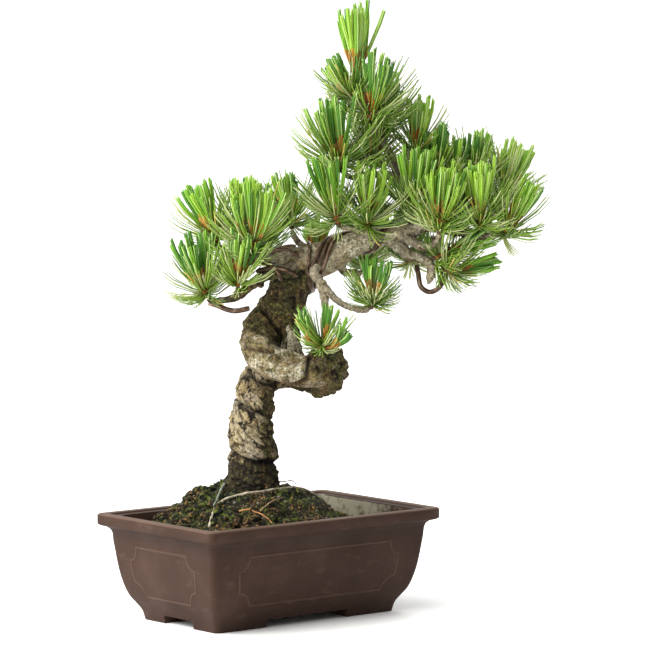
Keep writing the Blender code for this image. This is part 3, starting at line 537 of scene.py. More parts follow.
# Tufts: a stem, candles that bear new bundles in sheaths, and old bundles splayed below them.
# Pairs are the least and the most. An opening is how far the needles of a bundle lean apart, and a
# gather is the radius of their ring as a share of their width.
STEM_RADIUS = 0.0017
LARGE_REACH = 0.045
BRUSH_LENGTH = 0.40
SCALES_ON_CANDLE = 14
NEW_SPREAD = math.radians(27)
NEW_REACH = (0.88, 1.10)
CANDLE_FAN = 1.1
CANDLE_RADII = (1.8 * MM, 0.9 * MM)
TWIG_SIDES = 7
SCALE_HALF_WIDTH = 1.1 * MM
SCALE_THICKNESS = 0.7 * MM
SCALE_LENGTH = 3.6 * MM
OLD_INNER = math.radians(54)
OLD_OUTER = math.radians(112)
OLD_LENGTH = (0.54, 0.78)
OLD_LIFT = (0.30, 0.75)
DROOP = (0.3, 0.9)
SPREAD_VARIES = (0.75, 1.3)
TURN_VARIES = 0.4
AIM_PULL = 0.2
NEW_WIDTH = 0.0016
NEW_OPENING = 0.006
NEW_GATHER = 0.56
SHEATH_LENGTH = (0.010, 0.016)
SHEATH_WIDTH = 0.0018
SHEATH_OPENING = 0.02
SHEATH_GATHER = 0.50
OLD_WIDTH = 0.0013
OLD_OPENING = 0.11
OLD_GATHER = 0.45
DEAD_SHARE = 0.06
GROWTH_STEP = 0.003

# The share of old bundles that hang, and that share on the crown's lower edge, where more do.
DROOPING = 0.10
LIMP = {
    "tuft_left_tip": 0.28, "tuft_right_tip": 0.25, "tuft_hanging": 0.30, "tuft_right_sprig": 0.5,
}

# Tufts whose candles fan wider than others do, and tufts that stand above others or behind them
# and keep only a share of their old bundles.
WIDER = {"tuft_hanging": 1.8, "tuft_low": 1.2}
FEWER = {"tuft_leader": 0.01, "tuft_crook_back": 0.4}

# Needles: the most in one piece, their width at shares of their length, the corners of their
# section, and how thick it is as a share of its width.
MOST_NEEDLES = 8500
NEEDLE_PROFILE = ((0.0, 0.60), (0.30, 0.95), (0.75, 1.0), (0.98, 0.78))
NEEDLE_CORNERS = (0.0, math.radians(120), math.radians(240))
NEEDLE_THICKNESS = 0.75

# Needle colours: name, colour and roughness. One needle of each new bundle takes the last new
# green. One needle of each old bundle takes the first old green or, where it is dead, the last.
# The others take the colour whose number is drawn from the shades.
NEW_GREENS = (
    ("new needles spring", "6c9d20", 0.42),
    ("new needles leaf", "447619", 0.42),
    ("new needles lime", "8bb232", 0.42),
    ("new needles pale", "a2bf6a", 0.50),
)
TUFT_SHADES = (0, 0, 1, 1, 2)
OLD_GREENS = (
    ("old needles silvery", "a8b374", 0.55),
    ("old needles dark", "577823", 0.48),
    ("old needles mid", "7b9b34", 0.48),
    ("old needles yellowed", "b9a850", 0.60),
)
OLD_SHADES = (0, 1, 1, 2, 2, 2)
SHEATH_BROWNS = (
    ("orange sheath", "a8641f", 0.7),
    ("straw sheath", "c08f48", 0.7),
    ("brown sheath", "7a4318", 0.7),
)

# Studio: camera, and lights as (name, right, back, up, size, watts, colour).
CAMERA_TARGET = (0.0414, 0.0, 0.2167)
CAMERA_ELEVATION = 4.87
CAMERA_DISTANCE = 2.864
CAMERA_LENS = 214.2
FLOOR_HALF = 150.0
SUN_PLACE = (-1.1, -0.45, 1.25)
SUN_SOFTNESS = math.radians(80)
SKY_DARK_SIDE = (0.75, -0.65, 0.15)
SKY_SHADE = "949494"
LIGHTS = (
    ("key_light", -1.1, -0.8, 1.2, 1.0, 22, "fffdf8"),
    ("back_light", 0.3, 1.3, 1.4, 1.2, 14, "ffffff"),
    ("low_light", -0.66, -0.54, 0.06, 0.30, 3.4, "ffffff"),
)


def linear(hex_colour):
    """The linear RGBA of an sRGB colour written as six hex digits."""
    channels = [int(hex_colour[i : i + 2], 16) / 255 for i in (0, 2, 4)]
    return (*[c / 12.92 if c <= 0.04045 else ((c + 0.055) / 1.055) ** 2.4 for c in channels], 1.0)


def from_front(right, back, up):
    """A point or direction seen from the tree's front, in the pot's own axes."""
    across = Vector((math.cos(FRONT_TURN), -math.sin(FRONT_TURN), 0))
    away = Vector((math.sin(FRONT_TURN), math.cos(FRONT_TURN), 0))
    return across * right + away * back + UP * up


def pot_centre():
    """The middle of the pot's underside in the model's frame."""
    low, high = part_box("pot")
    return Vector(((low[0] + high[0]) / 2, (low[1] + high[1]) / 2, 0))


STAND = pot_centre()


def placed(right, back, up):
    return from_front(right, back, up) + STAND


def smooth_path(stations, step):
    """Rows about a step apart, on a smooth curve through the stations."""
    rows = np.array(stations, float)
    ends = np.vstack([2 * rows[0] - rows[1], rows, 2 * rows[-1] - rows[-2]])
    path = []
    for before, start, end, after in zip(ends, ends[1:], ends[2:], ends[3:]):
        pieces = max(1, round(np.linalg.norm((end - start)[:3]) / step))
        for t in np.arange(pieces) / pieces:
            path.append(
                0.5 * (2 * start + (end - before) * t
                       + (2 * before - 5 * start + 4 * end - after) * t ** 2
                       + (3 * start - before - 3 * end + after) * t ** 3)
            )
    path.append(rows[-1])
    return np.array(path)


def lengths_along(path):
    steps = np.linalg.norm(np.diff(path[:, :3], axis=0), axis=1)
    return np.concatenate([[0], np.cumsum(steps)])


def at_share(path, share):
    """The point and the radius at a share of a path's length."""
    lengths = lengths_along(path)
    row = [np.interp(share * lengths[-1], lengths, path[:, i]) for i in range(4)]
    return Vector(row[:3]), row[3]


def tilted(direction, tilt, turn):
    """A direction that leans away from another by tilt, towards the side that turn gives."""
    side = direction.orthogonal().normalized()
    side.rotate(Matrix.Rotation(turn, 3, direction))
    return (direction * math.cos(tilt) + side * math.sin(tilt)).normalized()


def distances(start, end, segments):
    """The gap between one straight line and each row of segments, less that row's radius."""
    p1, d1 = np.array(start), np.array(end) - np.array(start)
    p2, d2 = segments[:, :3], segments[:, 3:6] - segments[:, :3]
    r = p1 - p2
    a = d1 @ d1
    e = (d2 * d2).sum(axis=1) + 1e-12
    f = (d2 * r).sum(axis=1)
    b = d2 @ d1
    c = r @ d1
    flat = a * e - b * b
    s = np.clip((b * f - c * e) / np.where(flat < 1e-15, 1e-15, flat), 0, 1)
    t = np.clip((b * s + f) / e, 0, 1)
    s = np.clip((b * t - c) / a, 0, 1)
    near = (p1 + s[:, None] * d1) - (p2 + t[:, None] * d2)
    return np.linalg.norm(near, axis=1) - segments[:, 6]


def segments_of(path):
    """Rows of (start, end, radius) for each straight stretch of a path."""
    radii = np.maximum(path[:-1, 3], path[1:, 3])
    return np.column_stack([path[:-1, :3], path[1:, :3], radii])


def trunk_path(step):
    return smooth_path([(*placed(*bend[:3]), bend[3]) for bend in TRUNK_BENDS], step)


def bough_paths(step):
    """The middle line of every limb, with its radius."""
    paths = {"trunk": trunk_path(step)}
    for name, (limb, share, wide, narrow, bends) in BOUGHS.items():
        seat = at_share(paths[limb], share)[0]
        points = [seat] + [placed(*bend) for bend in bends]
        radii = np.linspace(wide, narrow, len(points))
        rows = [(*point, radius) for point, radius in zip(points, radii)]
        paths[name] = smooth_path(rows, step)
    return paths


def route_path(route, radius, step):
    """The smooth path of one thickness along a route of (right, back, up) points."""
    return smooth_path([(*placed(*point), radius) for point in route], step)


def wind(path, first, last, turns, start_angle, radius, step):
    """The path of a wire that winds round a limb, sunk a little into its bark."""
    total = lengths_along(path)[-1]
    mid_radius = at_share(path, (first + last) / 2)[1]
    run = math.hypot((last - first) * total, turns * math.tau * (mid_radius + radius))
    pieces = max(4, round(run / step))
    rows = []
    for k in range(pieces + 1):
        share = first + (last - first) * k / pieces
        centre, limb_radius = at_share(path, share)
        ahead = at_share(path, min(1.0, share + 0.01))[0] - at_share(path, share - 0.01)[0]
        back = ahead.cross(UP).normalized() * -1
        over = ahead.cross(back).normalized() * -1
        if over.z < 0:
            over = -over
        angle = math.radians(start_angle) + turns * math.tau * k / pieces
        out = back * math.cos(angle) + over * math.sin(angle)
        point = centre + out * (limb_radius + radius - WIRE_SUNK)
        rows.append((*point, radius))
    return np.array(rows)


def frames_along(points):
    """Side and over vectors at each point of a line, carried along it without twisting."""
    ahead = np.gradient(points, axis=0)
    ahead /= np.linalg.norm(ahead, axis=1)[:, None]
    side = np.array(Vector(ahead[0]).orthogonal().normalized())
    sides = []
    for way in ahead:
        side = side - way * (side @ way)
        side /= np.linalg.norm(side)
        sides.append(side)
    sides = np.array(sides)
    return sides, np.cross(ahead, sides)


def swept(points, radii, sides_count):
    """Arrays of points and faces for a round tube along a line, with its ends closed."""
    side, over = frames_along(points)
    turns = (np.arange(sides_count) * math.tau / sides_count)[None, :, None]
    ring = side[:, None] * np.cos(turns) + over[:, None] * np.sin(turns)
    verts = (points[:, None] + ring * radii[:, None, None]).reshape(-1, 3)
    rows = len(points)
    k = np.arange(sides_count)
    n = (k + 1) % sides_count
    low = (np.arange(rows - 1) * sides_count)[:, None]
    faces = np.stack([low + k, low + n, low + sides_count + n, low + sides_count + k], axis=-1)
    faces = faces.reshape(-1, 4).tolist()
    faces.append(list(reversed(range(sides_count))))
    faces.append(list(range((rows - 1) * sides_count, rows * sides_count)))
    return verts, faces


def join(verts, faces, more_verts, more_faces):
    """Adds one part's points and faces to a piece's."""
    first = len(verts)
    verts.extend(more_verts)
    faces.extend([first + corner for corner in face] for face in more_faces)


def linked(name, data):
    """A new object in the scene for a mesh, a light or a camera."""
    obj = bpy.data.objects.new(name, data)
    bpy.context.scene.collection.objects.link(obj)
    return obj


def mesh_of(name, bm):
    """A mesh made from a bmesh, which is freed."""
    mesh = bpy.data.meshes.new(name)
    bm.to_mesh(mesh)
    bm.free()
    return mesh


def mesh_piece(name, verts, faces, material, smooth=True):
    """An object made from arrays of points and faces."""
    mesh = bpy.data.meshes.new(name)
    mesh.from_pydata([tuple(v) for v in verts], [], faces)
    mesh.validate()
    return keep_piece(name, mesh, material, smooth)


def keep_piece(name, mesh, material, smooth=True):
    """An object of one material that stays with the pot's body."""
    obj = linked(name, mesh)
    mesh.materials.clear()
    mesh.materials.append(material)
    if smooth:
        mesh.shade_smooth()
    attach(obj, "root")
    return obj


def bmesh_piece(name, bm, material, sharp_angle=None):
    """An object made from a bmesh, shaded smooth up to the sharp angle."""
    bmesh.ops.recalc_face_normals(bm, faces=bm.faces)
    mesh = mesh_of(name, bm)
    obj = keep_piece(name, mesh, material)
    if sharp_angle:
        mesh.set_sharp_from_angle(angle=math.radians(sharp_angle))
    return obj


def lumps(at, size):
    """Smooth noise from -1 to 1 whose lumps are about a size in millimetres apart."""
    return noise.noise(at / (size * MM))


def add_attribute(obj, name, values):
    layer = obj.data.attributes.new(name, "FLOAT", "POINT")
    layer.data.foreach_set("value", np.asarray(values, np.float32))


def smoothstep(low, high, value):
    """0 up to the low value and 1 from the high one, with a smooth rise between them."""
    t = min(1.0, max(0.0, (value - low) / (high - low)))
    return t * t * (3 - 2 * t)


def add(tree, kind, links=None, **settings):
    """A node with its settings, and its inputs set to values or joined to other nodes' outputs."""
    node = tree.nodes.new(kind)
    for name, value in settings.items():
        setattr(node, name, value)
    for key, value in (links or {}).items():
        if isinstance(value, bpy.types.NodeSocket):
            tree.links.new(value, node.inputs[key])
        else:
            node.inputs[key].default_value = value
    return node


def ramp(tree, factor, stops):
    """A colour ramp over a value, from (place, hex colour) or (place, grey) pairs."""
    node = add(tree, "ShaderNodeValToRGB", {"Fac": factor})
    elements = node.color_ramp.elements
    while len(elements) < len(stops):
        elements.new(0.5)
    for element, (place, colour) in zip(elements, stops):
        element.position = place
        grey = isinstance(colour, (int, float))
        element.color = (colour, colour, colour, 1) if grey else linear(colour)
    return node.outputs["Color"]


def blend(tree, factor, below, above):
    """The colour above, from a socket or in hex, laid over the colour below by a factor."""
    node = add(tree, "ShaderNodeMix", data_type="RGBA")
    tree.links.new(factor, node.inputs[0])
    tree.links.new(below, node.inputs[6])
    if isinstance(above, str):
        node.inputs[7].default_value = linear(above)
    else:
        tree.links.new(above, node.inputs[7])
    return node.outputs[2]


def stained(tree, colour, value, stops, stain):
    """A colour with a stain laid over it, as strong as the stops make it at a value."""
    return blend(tree, ramp(tree, value, stops), colour, stain)


def product(tree, one, other):
    return add(tree, "ShaderNodeMath", {0: one, 1: other}, operation="MULTIPLY").outputs[0]


def speckle(tree, size, detail=3.0, roughness=0.55, stretch=(1, 1, 1)):
    """Noise whose blotches are about a size in millimetres across, on Object coordinates."""
    where = add(tree, "ShaderNodeTexCoord").outputs["Object"]
    turned = add(tree, "ShaderNodeMapping", {"Vector": where, "Scale": stretch}).outputs[0]
    return add(
        tree, "ShaderNodeTexNoise",
        {"Vector": turned, "Scale": 0.5 / (size * MM), "Detail": detail, "Roughness": roughness},
    ).outputs["Fac"]


def attribute(tree, name):
    return add(tree, "ShaderNodeAttribute", attribute_name=name).outputs["Fac"]


def bumped(tree, height, distance, strength, under=None):
    """The normal of a surface raised by a height times a distance in millimetres.

    It lies over the normal of a bump under it, where there is one.
    """
    links = {"Height": height, "Distance": distance * MM, "Strength": strength}
    if under:
        links["Normal"] = under
    return add(tree, "ShaderNodeBump", links).outputs["Normal"]


def surface(name, roughness, specular, metallic=0.0):
    """A material with one Principled shader, as (material, node tree, shader)."""
    material = bpy.data.materials.new(name)
    material.use_nodes = True
    tree = material.node_tree
    shader = tree.nodes["Principled BSDF"]
    shader.inputs["Specular IOR Level"].default_value = specular
    shader.inputs["Metallic"].default_value = metallic
    shader.inputs["Roughness"].default_value = roughness
    return material, tree, shader


def feed(tree, shader, sockets):
    """Joins each value to the shader's socket of that name."""
    for name, value in sockets.items():
        tree.links.new(value, shader.inputs[name])


def unglazed_clay():
    """Moulded and fired brown clay: matt, faintly mottled, with fine grit, lime, painted shade
    under the lip, a darker foot, pale edges of wear and painted sheen, and painted highlights on
    its lines.
    """
    material, tree, shader = surface("unglazed clay", 0.6, 0.16)
    mottle = speckle(tree, 22, 4)
    colour = ramp(tree, mottle, ((0.30, "322219"), (0.52, "38261d"), (0.75, "412e24")))
    grit = speckle(tree, 0.7, 2)
    colour = stained(tree, colour, grit, ((0.60, 0.0), (0.70, 0.55)), "251a16")
    smears = speckle(tree, 9, 5, 0.6, (1, 1, 2.5))
    colour = stained(tree, colour, smears, ((0.58, 0.0), (0.78, 0.18)), "7a6555")
    # Pale top edge of the rim, partly wear and partly painted sheen, and the panel lines' painted
    # highlight.
    colour = blend(tree, product(tree, attribute(tree, "pale_mark"), 0.2), colour, "7d6656")
    # Lime inside, and in the wall's corners, where it also paints their sheen.
    crust = product(tree, attribute(tree, "lime"), speckle(tree, 5, 6, 0.7))
    colour = stained(tree, colour, crust, ((0.30, 0.0), (0.50, 0.65)), "8f8d78")
    # Painted shade under the lip, and a darker foot.
    colour = blend(tree, attribute(tree, "lip_shade_and_dark_foot"), colour, "2a1e19")
    polish = ramp(tree, mottle, ((0.3, 0.72), (0.7, 0.58)))
    skin = bumped(tree, grit, 0.12, 0.7)
    skin = bumped(tree, speckle(tree, 4, 3), 0.25, 0.6, skin)
    feed(tree, shader, {"Base Color": colour, "Roughness": polish, "Normal": skin})
    return material


def moss_and_grit():
    """Damp dark moss over brown grit, with bare patches of soil."""
    material, tree, shader = surface("moss and grit", 0.95, 0.25)
    patches = speckle(tree, 12, 5, 0.6)
    shoots = speckle(tree, 1.6, 5)
    crumbs = speckle(tree, 1.2, 4)
    green = ramp(tree, shoots, ((0.40, "060803"), (0.52, "161a08"), (0.62, "4e551c")))
    brown = ramp(tree, crumbs, ((0.40, "0a0704"), (0.52, "1c140b"), (0.62, "6e5531")))
    colour = stained(tree, green, patches, ((0.46, 0.0), (0.58, 1.0)), brown)
    rough = bumped(tree, crumbs, 0.9, 0.9)
    feed(tree, shader, {"Base Color": colour, "Normal": rough})
    return material


def hairlines(tree, size, warp):
    """1 in thin cracks about a size apart that wander by a warp, in millimetres, 0 elsewhere."""
    where = add(tree, "ShaderNodeTexCoord").outputs["Object"]
    bends = add(
        tree, "ShaderNodeTexNoise", {"Vector": where, "Scale": 0.7 / (size * MM), "Detail": 3.0}
    ).outputs["Color"]
    shifted = add(
        tree, "ShaderNodeVectorMath", {0: bends, 1: (warp * MM,) * 3, 2: where},
        operation="MULTIPLY_ADD",
    ).outputs[0]
    cells = add(
        tree, "ShaderNodeTexVoronoi", {"Vector": shifted, "Scale": 1 / (size * MM)},
        feature="DISTANCE_TO_EDGE",
    ).outputs["Distance"]
    return ramp(tree, cells, ((0.0, 1.0), (0.09, 0.0)))


def plated_bark(name="plated bark", pale="aa9972", mid="7c6b49", dark="3e311f"):
    """Old pine bark: dry corky plates with dark cracks, moss, lichen and grey weathering, with
    painted light and shade laid on through its marks.
    """
    material, tree, shader = surface(name, 0.92, 0.25)
    grain = speckle(tree, 2.0, 7, 0.7)
    colour = ramp(tree, grain, ((0.30, dark), (0.46, mid), (0.62, pale)))
    flecks = speckle(tree, 0.8, 4, 0.6)
    colour = stained(tree, colour, flecks, ((0.54, 0.0), (0.66, 0.45)), "30261a")
    colour = stained(tree, colour, speckle(tree, 6, 5), ((0.48, 0.0), (0.58, 0.5)), "9a9080")
    streak = attribute(tree, "streak")
    colour = stained(tree, colour, streak, ((0.56, 0.0), (0.80, 0.35)), "c4b78f")
    crusty = ramp(tree, flecks, ((0.36, "766d54"), (0.48, "b8b094"), (0.60, "e0dac4")))
    lichen = product(tree, attribute(tree, "lichen"), speckle(tree, 5.5, 5, 0.65))
    # Lichen, which on the lower trunk's left side also paints the light falling there.
    colour = stained(tree, colour, lichen, ((0.28, 0.0), (0.32, 0.8)), crusty)
    moss = product(tree, attribute(tree, "moss"), speckle(tree, 4, 6, 0.7))
    tufty = speckle(tree, 1.3, 6, 0.75)
    green, brown = (
        ramp(tree, tufty, tuple(zip((0.38, 0.47, 0.55, 0.66), colours)))
        for colours in (
            ("15180a", "2f3013", "545425", "8d8a4c"), ("130e07", "362a15", "645229", "9c8853")
        )
    )
    green = stained(tree, green, speckle(tree, 5, 4), ((0.46, 0.0), (0.54, 1.0)), brown)
    # Pale bark, which on the lower trunk's left side also paints the light falling there.
    colour = blend(tree, attribute(tree, "pale"), colour, crusty)
    pits = ramp(tree, speckle(tree, 1.1, 2, 0.4, (1, 1, 1.4)), ((0.58, 0.0), (0.64, 0.6)))
    colour = blend(tree, pits, colour, "33291b")
    # Moss, which also paints shade on the lower trunk's right side, on the boughs' undersides and
    # under the shoulder's boughs.
    colour = stained(tree, colour, moss, ((0.28, 0.0), (0.34, 0.92)), green)
    rusty = ramp(tree, flecks, ((0.38, "2a1c0f"), (0.50, "594327"), (0.62, "8a7048")))
    # Rust below the band and knobs, and painted shade in the folds.
    colour = blend(tree, attribute(tree, "rust_and_fold_shade"), colour, rusty)
    colour = stained(tree, colour, streak, ((0.18, 0.8), (0.40, 0.0)), "2a1f12")
    cracks = product(tree, attribute(tree, "scaly"), hairlines(tree, 3.4, 2.4))
    colour = blend(tree, cracks, colour, "2a2015")
    # Dark cracks, with painted shade in the coil groove, folds and hollows and under the shoulder's
    # boughs.
    colour = blend(tree, attribute(tree, "crack"), colour, "150f09")
    cork = bumped(tree, grain, 1.4, 1.0)
    cork = bumped(tree, cracks, -0.5, 0.9, cork)
    cork = bumped(tree, flecks, 0.5, 1.0, cork)
    cork = bumped(tree, pits, -0.4, 0.9, cork)
    feed(tree, shader, {"Base Color": colour, "Normal": cork})
    return material


def anodised_wire():
    """Brown anodised aluminium wire: satin, dulled by weather, and rubbed paler in patches."""
    material, tree, shader = surface("anodised wire", 0.42, 0.5, 0.75)
    pale_mark = speckle(tree, 3, 4, 0.6)
    colour = ramp(tree, pale_mark, ((0.35, "3a2c23"), (0.55, "5e4a3a"), (0.7, "927b66")))
    polish = ramp(tree, pale_mark, ((0.3, 0.5), (0.7, 0.34)))
    scratches = bumped(tree, speckle(tree, 0.6, 2), 0.05, 0.5)
    feed(tree, shader, {"Base Color": colour, "Roughness": polish, "Normal": scratches})
    return material


def bare_aluminium():
    """The freshly cut end of a wire: bright grey metal with saw marks."""
    material, tree, shader = surface("bare aluminium", 0.35, 0.5, 1.0)
    marks = speckle(tree, 0.4, 2, 0.5, (1, 6, 1))
    feed(tree, shader, {"Base Color": ramp(tree, marks, ((0.3, "b9bcbe"), (0.7, "d9dbdc")))})
    return material


def plain(name, colour, roughness, specular=0.45):
    """A leafy surface of one plain colour, as fine needles and moss have when seen whole."""
    material, _, shader = surface(name, roughness, specular)
    shader.inputs["Base Color"].default_value = linear(colour)
    return material


def dry_fibre(name, dark, pale, size=1.5):
    """Thin roots, buds and dead twigs: dull, and mottled dark and pale."""
    material, tree, shader = surface(name, 0.85, 0.3)
    streaks = speckle(tree, size, 4, 0.6)
    colour = ramp(tree, streaks, ((0.32, dark), (0.68, pale)))
    feed(tree, shader, {"Base Color": colour, "Normal": bumped(tree, streaks, 0.15, 0.6)})
    return material


def pale_backdrop():
    """A matt white sheet of paper that the plant stands on."""
    material, tree, shader = surface("pale backdrop", 0.95, 0.1)
    fibres = speckle(tree, 60, 3)
    feed(tree, shader, {"Base Color": ramp(tree, fibres, ((0.3, "fafaf9"), (0.7, "fcfcfb")))})
    return material


def wall_rows():
    """The outer wall's smooth profile below the lip, as (height, inset) rows."""
    rows = []
    for height, inset, _, _ in smooth_path([(*step, 0, 0) for step in WALL_STEPS], WALL_STRETCH):
        ridge = RIDGE_RISE * math.exp(-(((height - RIDGE_HEIGHT) / RIDGE_WIDTH) ** 2))
        rows.append((float(height), float(inset - ridge)))
    return rows


def wall_inset(height):
    """How far the pot's outer wall stands in from the rim at a height."""
    return float(np.interp(height, *zip(*wall_rows())))


def pot_outline(bm, height, inset):
    """A flat face of the pot's outline, facing up, with its straight sides in short stretches."""
    corners = bmesh.ops.create_grid(
        bm, x_segments=1, y_segments=1, size=1, matrix=Matrix.Translation((0, 0, height))
    )["verts"]
    bmesh.ops.scale(bm, vec=(POT_LENGTH / 2, POT_WIDTH / 2, 1), verts=corners)
    bmesh.ops.bevel(
        bm, geom=corners, affect="VERTICES", offset=POT_CORNER, segments=CORNER_STEPS,
        profile=0.5, material=-1,
    )
    for axis, least in ((0, POT_LENGTH), (1, POT_WIDTH)):
        sides = [
            edge for edge in bm.edges
            if abs(edge.verts[0].co[axis] - edge.verts[1].co[axis]) > least / 2
        ]
        bmesh.ops.bisect_edges(bm, edges=sides, cuts=round(least / SIDE_STRETCH))
    shrink = (1 - 2 * inset / POT_LENGTH, 1 - 2 * inset / POT_WIDTH, 1)
    bmesh.ops.scale(bm, vec=shrink, verts=bm.verts)
    return max(bm.faces, key=lambda face: face.calc_area())


def draw_levels(bm, face, steps):
    """Draws a face up or down through the wall's steps, keeping each step's inset on all sides."""
    height, inset = steps[0]
    for next_height, next_inset in steps[1:]:
        out = bmesh.ops.extrude_face_region(bm, geom=[face])
        bmesh.ops.delete(bm, geom=[face], context="FACES_ONLY")
        verts = [item for item in out["geom"] if isinstance(item, bmesh.types.BMVert)]
        face = next(item for item in out["geom"] if isinstance(item, bmesh.types.BMFace))
        size = (
            (POT_LENGTH / 2 - next_inset) / (POT_LENGTH / 2 - inset),
            (POT_WIDTH / 2 - next_inset) / (POT_WIDTH / 2 - inset),
            1,
        )
        bmesh.ops.scale(bm, vec=size, verts=verts)
        bmesh.ops.translate(bm, vec=(0, 0, next_height - height), verts=verts)
        height, inset = next_height, next_inset


def slot_box(bm, low, high, slant, slant_axis):
    """A box between two corners whose lower edge is wider than its top along one axis."""
    verts = bmesh.ops.create_cube(bm, size=1)["verts"]
    for vert in verts:
        for axis in range(3):
            vert.co[axis] = high[axis] if vert.co[axis] > 0 else low[axis]
        if vert.co.z == low[2]:
            vert.co[slant_axis] += math.copysign(slant, vert.co[slant_axis])


def foot_cutters():
    """What is cut from the underside: an arch on each side, the recess between the feet, drains."""
    half_length = POT_LENGTH / 2 - WALL_STEPS[0][1]
    half_width = POT_WIDTH / 2 - WALL_STEPS[0][1]
    along = half_length - FOOT_ALONG - FOOT_SLANT
    across = half_width - FOOT_ACROSS - FOOT_SLANT
    below = -FOOT_HEIGHT
    cutters = []
    for low, high, slant, axis in (
        ((-along, -POT_WIDTH, below), (along, POT_WIDTH, FOOT_HEIGHT), 2 * FOOT_SLANT, 0),
        ((-POT_LENGTH, -across, below), (POT_LENGTH, across, FOOT_HEIGHT), 2 * FOOT_SLANT, 1),
        ((FOOT_DEPTH - half_length, FOOT_DEPTH - half_width, below),
         (half_length - FOOT_DEPTH, half_width - FOOT_DEPTH, FOOT_HEIGHT), 0, 0),
    ):
        bm = bmesh.new()
        slot_box(bm, low, high, slant, axis)
        cutters.append(bm)
    for side in (-1, 1):
        bm = bmesh.new()
        bmesh.ops.create_cone(
            bm, cap_ends=True, segments=DRAIN_SIDES, radius1=DRAIN_RADIUS, radius2=DRAIN_RADIUS,
            depth=4 * POT_FLOOR, matrix=Matrix.Translation((side * DRAIN_SPACING / 2, 0, 0)),
        )
        cutters.append(bm)
    return cutters


def cut_away(mesh, cutters):
    """The mesh with each cutter taken from it in turn."""
    body = linked("body", mesh)
    for bm in cutters:
        tool = linked("cutter", mesh_of("cutter", bm))
        modifier = body.modifiers.new("cut", "BOOLEAN")
        modifier.object = tool
        modifier.operation = "DIFFERENCE"
        graph = bpy.context.evaluated_depsgraph_get()
        body.data = bpy.data.meshes.new_from_object(body.evaluated_get(graph))
        body.modifiers.clear()
        bpy.data.objects.remove(tool, do_unlink=True)
    mesh = body.data
    bpy.data.objects.remove(body, do_unlink=True)
    return mesh


def notched_frame(half, low, high, notch):
    """A panel's outline, as (along, height) points, with a hollow quarter round at each corner."""
    points = []
    for corner_x, corner_z, start in (
        (half, low, 90), (-half, low, 0), (-half, high, -90), (half, high, 180)
    ):
        for k in range(NOTCH_POINTS + 1):
            angle = math.radians(start + 90 * k / NOTCH_POINTS)
            points.append((corner_x + notch * math.cos(angle), corner_z + notch * math.sin(angle)))
    return points


def panel_paths():
    """The lines of each side's panel, laid on the pot's wall."""
    paths = []
    for side, half, long_side in (
        (-1, PANEL_HALF_LONG, True), (1, PANEL_HALF_LONG, True),
        (-1, PANEL_HALF_SHORT, False), (1, PANEL_HALF_SHORT, False),
    ):
        outline = notched_frame(half, PANEL_LOW, PANEL_HIGH, PANEL_NOTCH)
        stations = []
        for (a, za), (b, zb) in zip(outline, outline[1:] + outline[:1]):
            pieces = max(1, round(math.hypot(b - a, zb - za) / PANEL_STEP))
            stations += [(a + (b - a) * k / pieces, za + (zb - za) * k / pieces)
                         for k in range(pieces)]
        points = []
        length, depth = (POT_LENGTH, POT_WIDTH) if long_side else (POT_WIDTH, POT_LENGTH)
        for along, height in stations:
            inset = wall_inset(height)
            reach = side * (depth / 2 - inset - LINE_SUNK)
            lean = along * (1 - 2 * inset / length)
            points.append((lean, reach, height) if long_side else (reach, lean, height))
        paths.append(points)
    return paths


def ring_tube(bm, points, radius, sides):
    """A closed loop of tube along the points, in a bmesh."""
    rings = []
    count = len(points)
    points = [Vector(point) for point in points]
    middle = sum(points, Vector()) / count
    for k, point in enumerate(points):
        ahead = (points[(k + 1) % count] - points[k - 1]).normalized()
        out = Vector((point.x, point.y, 0))
        out = Vector((0, out.y, 0)) if abs(middle.y) > abs(middle.x) else Vector((out.x, 0, 0))
        out = (out - ahead * out.dot(ahead)).normalized()
        flank = ahead.cross(out)
        rings.append([
            bm.verts.new(point + (out * math.cos(turn) + flank * math.sin(turn)) * radius)
            for turn in (k * math.tau / sides for k in range(sides))
        ])
    for ring, after in zip(rings, rings[1:] + rings[:1]):
        for k in range(sides):
            bm.faces.new((ring[k], ring[(k + 1) % sides], after[(k + 1) % sides], after[k]))


def from_rim(x, y):
    """How far inside the pot's rim a place is, in the pot's axes."""
    return min(POT_LENGTH / 2 - abs(x), POT_WIDTH / 2 - abs(y))


def weather(body):
    """Marks where the pot's body bears lime, painted shade under the lip, a darker foot, and pale
    top edges of wear and painted sheen.
    """
    marks = {"lime": [], "lip_shade_and_dark_foot": [], "pale_mark": []}
    top = max(vert.co.z for vert in body.data.vertices)
    for vert in body.data.vertices:
        x, y, z = vert.co - STAND
        inside = (
            from_rim(x, y) > LIP_STEPS[-1][1] - 0.5 * MM and z > SOIL_EDGE - INSIDE_BELOW_SOIL
        )
        far_corner = smoothstep(*LIME_ACROSS, x / POT_LENGTH * 2 + y / POT_WIDTH * 2)
        from_corner = math.hypot(POT_LENGTH / 2 - abs(x), POT_WIDTH / 2 - abs(y))
        # Lime in the wall's outer corners, which also paints the corners' sheen as a pale line down
        # each.
        stain = CORNER_LIME_AND_SHEEN * math.exp(-((from_corner / CORNER_LIME_AND_SHEEN_REACH) ** 2))
        stain *= 1 - smoothstep(*CORNER_LIME_AND_SHEEN_TOP, z)
        marks["lime"].append(max(far_corner, LIME_LEAST) if inside else stain)
        # The rim's top edge is paler: partly wear, partly painted sheen.
        edge = z > top - RIM_WEAR_AND_SHEEN_DEPTH and not inside
        marks["pale_mark"].append(RIM_WEAR_AND_SHEEN if edge else 0.0)
        # Painted shade under the lip.
        under_lip = smoothstep(*LIP_SHADE_START, z) * (1 - smoothstep(*LIP_SHADE_END, z))
        # Darker towards the bottom of the feet.
        low = 1 - smoothstep(0.0, FOOT_DARKENING_TOP, z)
        marks["lip_shade_and_dark_foot"].append(0.0 if inside else LIP_SHADE * under_lip + FOOT_DARKENING * low)
    for name, values in marks.items():
        add_attribute(body, name, values)


